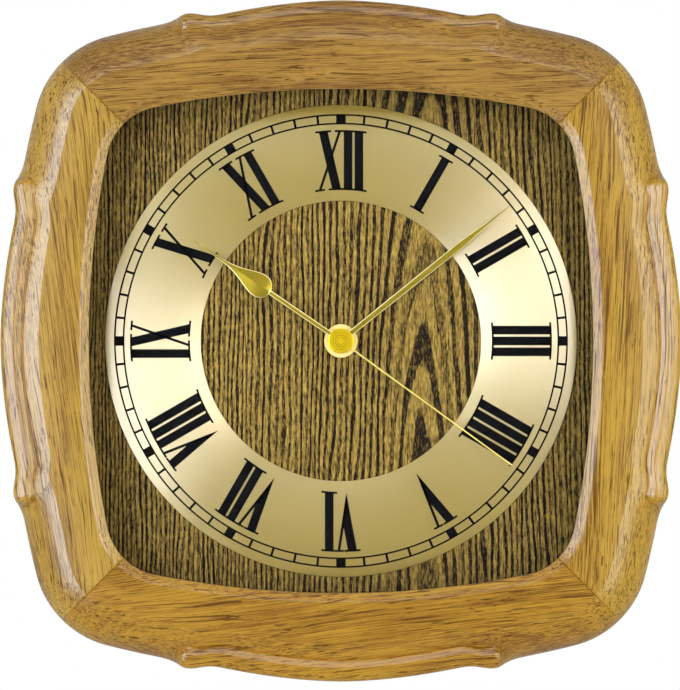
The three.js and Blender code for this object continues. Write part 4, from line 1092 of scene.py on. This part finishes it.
class CLOCK_OT_fittings(bpy.types.Operator):
    """Finish the glass, the movement, the hanger and every inner piece"""

    bl_idname = "clock.fittings"
    bl_label = "Glass, movement and hanger"

    def execute(self, context):
        finishes = finish_for_slot()
        for part in frame["record"]["subparts"]:
            node, slot = part["node"], part["material_slot"]
            if slot in finishes:
                dress(node, finishes[slot])
                if node in EASED:
                    eased_copy(node, finishes[slot], EASED[node])
        self.dry_cell(finishes["cell"])
        for node in ("set_button", "reset_button", "receive_button"):
            self.button(node, finishes["white_plastic"])
        return {"FINISHED"}

    def dry_cell(self, material):
        """The battery, turned about its own long axis, with its nub at the right."""
        low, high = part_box("battery")
        radius, edge = (high.z - low.z) / 2, 0.5 * MM
        nub, nub_edge, nub_length = 2.7 * MM, 0.2 * MM, 1.2 * MM
        left, right = low.x, high.x - nub_length
        profile = ([(AXIS, left)] + eased_corner(radius, left, -edge, edge)[::-1]
                   + eased_corner(radius, right, -edge, -edge)
                   + [(nub, right), (nub, high.x - nub_edge), (nub - nub_edge, high.x), (AXIS, high.x)])
        aside, up, along, faces = spun(profile, segments=72)
        middle_y, middle_z = (low.y + high.y) / 2, (low.z + high.z) / 2
        points = np.stack(np.broadcast_arrays(along, middle_y + up, middle_z + aside), axis=-1)
        make_piece("dry_cell", (points.reshape(-1, 3), faces), material, "battery", ["battery"])

    def button(self, node, material):
        """A push button: a stem with a domed end, on a collar."""
        low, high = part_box(node)
        x, y = (low.x + high.x) / 2, (low.z + high.z) / 2 - SPINDLE_Z
        back, front = back_of(node), front_of(node)
        stem, collar, dome_rise, collar_depth = 2.2 * MM, 3.0 * MM, 0.5 * MM, 0.6 * MM
        bend = np.linspace(0.02, 1.57, 9)
        dome = [(stem * math.sin(a), back + dome_rise * (1 - math.cos(a))) for a in bend]
        profile = dome + [(stem, front - collar_depth), (collar, front - collar_depth), (collar, front),
                          (AXIS, front)]
        shell = lathe(profile, segments=48, x=x, y=y)
        make_piece(f"smooth_{node}", shell, material, node, [node])


class CLOCK_OT_stage(bpy.types.Operator):
    """Set up the camera, the lamps, the pale floor and the white surround"""

    bl_idname = "clock.stage"
    bl_label = "Studio"

    def execute(self, context):
        self.camera(context)
        self.room()
        for lamp in LAMPS:
            self.softbox(*lamp)
        self.surround(context)
        context.scene.view_settings.view_transform = "Standard"
        return {"FINISHED"}

    def camera(self, context):
        """On the spindle's line and far off, so that the clock fills the frame as in the photograph."""
        away, width, focus = 4.0, 0.32, 30 * MM
        aside, below = 0.45 * MM, 1.9 * MM
        lens = bpy.data.cameras.new("front view")
        lens.sensor_fit = "HORIZONTAL"
        lens.sensor_width = 36.0
        lens.lens = away * lens.sensor_width / width
        eye = placed("front view", lens)
        eye.location = (-aside, -focus - away, SPINDLE_Z - below)
        eye.rotation_euler = (math.pi / 2, 0, 0)
        context.scene.camera = eye

    def room(self):
        """A pale floor well below the clock, and two walls that only reflections show: a warm one behind the
        camera and a grey-blue one behind the clock."""
        half, level, top = 5.0, SPINDLE_Z - 1.0, 8.0
        floor = [(-half, -half, level), (half, -half, level), (half, half, level), (-half, half, level)]
        self.painted("studio_floor", floor, colours().backdrop)
        for name, y, code in (("camera_wall", -4.6, "#a08c60"), ("clock_wall", 0.6, "#b0c4dc")):
            corners = [(-half, y, level), (half, y, level), (half, y, top), (-half, y, top)]
            wall = self.painted(name, corners, linear(code))
            wall.visible_camera = False
            if name == "clock_wall":
                wall.visible_shadow = wall.visible_diffuse = wall.visible_transmission = False

    def painted(self, name, corners, tone):
        """One painted plane of the studio."""
        material, tree = new_finish(f"matt paint, {name}")
        cloud = noise(tree, object_place(tree), cell=0.3)["Fac"]
        rough = remap(tree, cloud, 0.85, 0.95)
        mesh = bpy.data.meshes.new(name)
        mesh.from_pydata(corners, [], [(0, 1, 2, 3)])
        mesh.materials.append(surfaced(material, {"Base Color": tone, "Roughness": rough}))
        plane = placed(name, mesh)
        return plane

    def softbox(self, name, offset, size, power, code, matt, gleam):
        """A rectangular lamp at an offset from the spindle, facing the clock. It may light matt surfaces
        alone, or only give metal and lacquer their gleam."""
        light = bpy.data.lights.new(name, "AREA")
        light.shape = "RECTANGLE"
        light.size, light.size_y = size
        light.energy = power
        light.color = linear(code)
        lamp = placed(name, light)
        x, y, z = offset
        lamp.location = (x, y, SPINDLE_Z + z)
        lamp.rotation_euler = (math.pi / 2 - math.atan2(z, math.hypot(x, y)), 0, math.atan2(x, -y))
        lamp.visible_camera = False
        lamp.visible_diffuse = matt
        lamp.visible_glossy = gleam

    def surround(self, context):
        """White to the camera and in reflections, and soft fill light everywhere else."""
        world = bpy.data.worlds.new("studio surround")
        world.use_nodes = True
        tree = world.node_tree
        tree.nodes.clear()
        path = add(tree, "ShaderNodeLightPath").outputs
        seen = maths(tree, "MAXIMUM", path["Is Camera Ray"], path["Is Glossy Ray"])
        shown = maths(tree, "MAXIMUM", seen, path["Is Transmission Ray"])
        fill, white = (add(tree, "ShaderNodeBackground", inputs={"Color": (1, 1, 1, 1), "Strength": strength})
                       for strength in (FILL_LIGHT, 1.0))
        add(tree, "ShaderNodeOutputWorld", inputs={"Surface": mixed(tree, shown, fill, white).outputs[0]})
        context.scene.world = world


class CLOCK_PT_panel(bpy.types.Panel):
    """The clock's operators and settings"""

    bl_idname = "CLOCK_PT_panel"
    bl_label = "Oak wall clock"
    bl_space_type = "VIEW_3D"
    bl_region_type = "UI"
    bl_category = "Clock"

    def draw(self, context):
        for step in STEPS:
            self.layout.operator(step.bl_idname)
        for group in (context.scene.clock_sizes, context.scene.clock_colours):
            box = self.layout.box()
            for name in group.bl_rna.properties.keys():
                if name not in ("rna_type", "name"):
                    box.prop(group, name)


STEPS = (CLOCK_OT_stage, CLOCK_OT_frame, CLOCK_OT_dial, CLOCK_OT_hands, CLOCK_OT_fittings)
CLASSES = (ClockSizes, ClockColours, *STEPS, CLOCK_PT_panel)


def register():
    """Registers the classes and hangs the settings on the scene."""
    for each in CLASSES:
        bpy.utils.register_class(each)
    bpy.types.Scene.clock_sizes = bpy.props.PointerProperty(type=ClockSizes)
    bpy.types.Scene.clock_colours = bpy.props.PointerProperty(type=ClockColours)


def unregister():
    """Takes the settings off the scene and removes the classes."""
    del bpy.types.Scene.clock_colours
    del bpy.types.Scene.clock_sizes
    for each in reversed(CLASSES):
        bpy.utils.unregister_class(each)


def main():
    """Builds the clock and its studio."""
    register()
    bpy.ops.clock.stage()
    bpy.ops.clock.frame_rails()
    bpy.ops.clock.dial()
    bpy.ops.clock.hands()
    bpy.ops.clock.fittings()


if __name__ == "__main__":
    main()
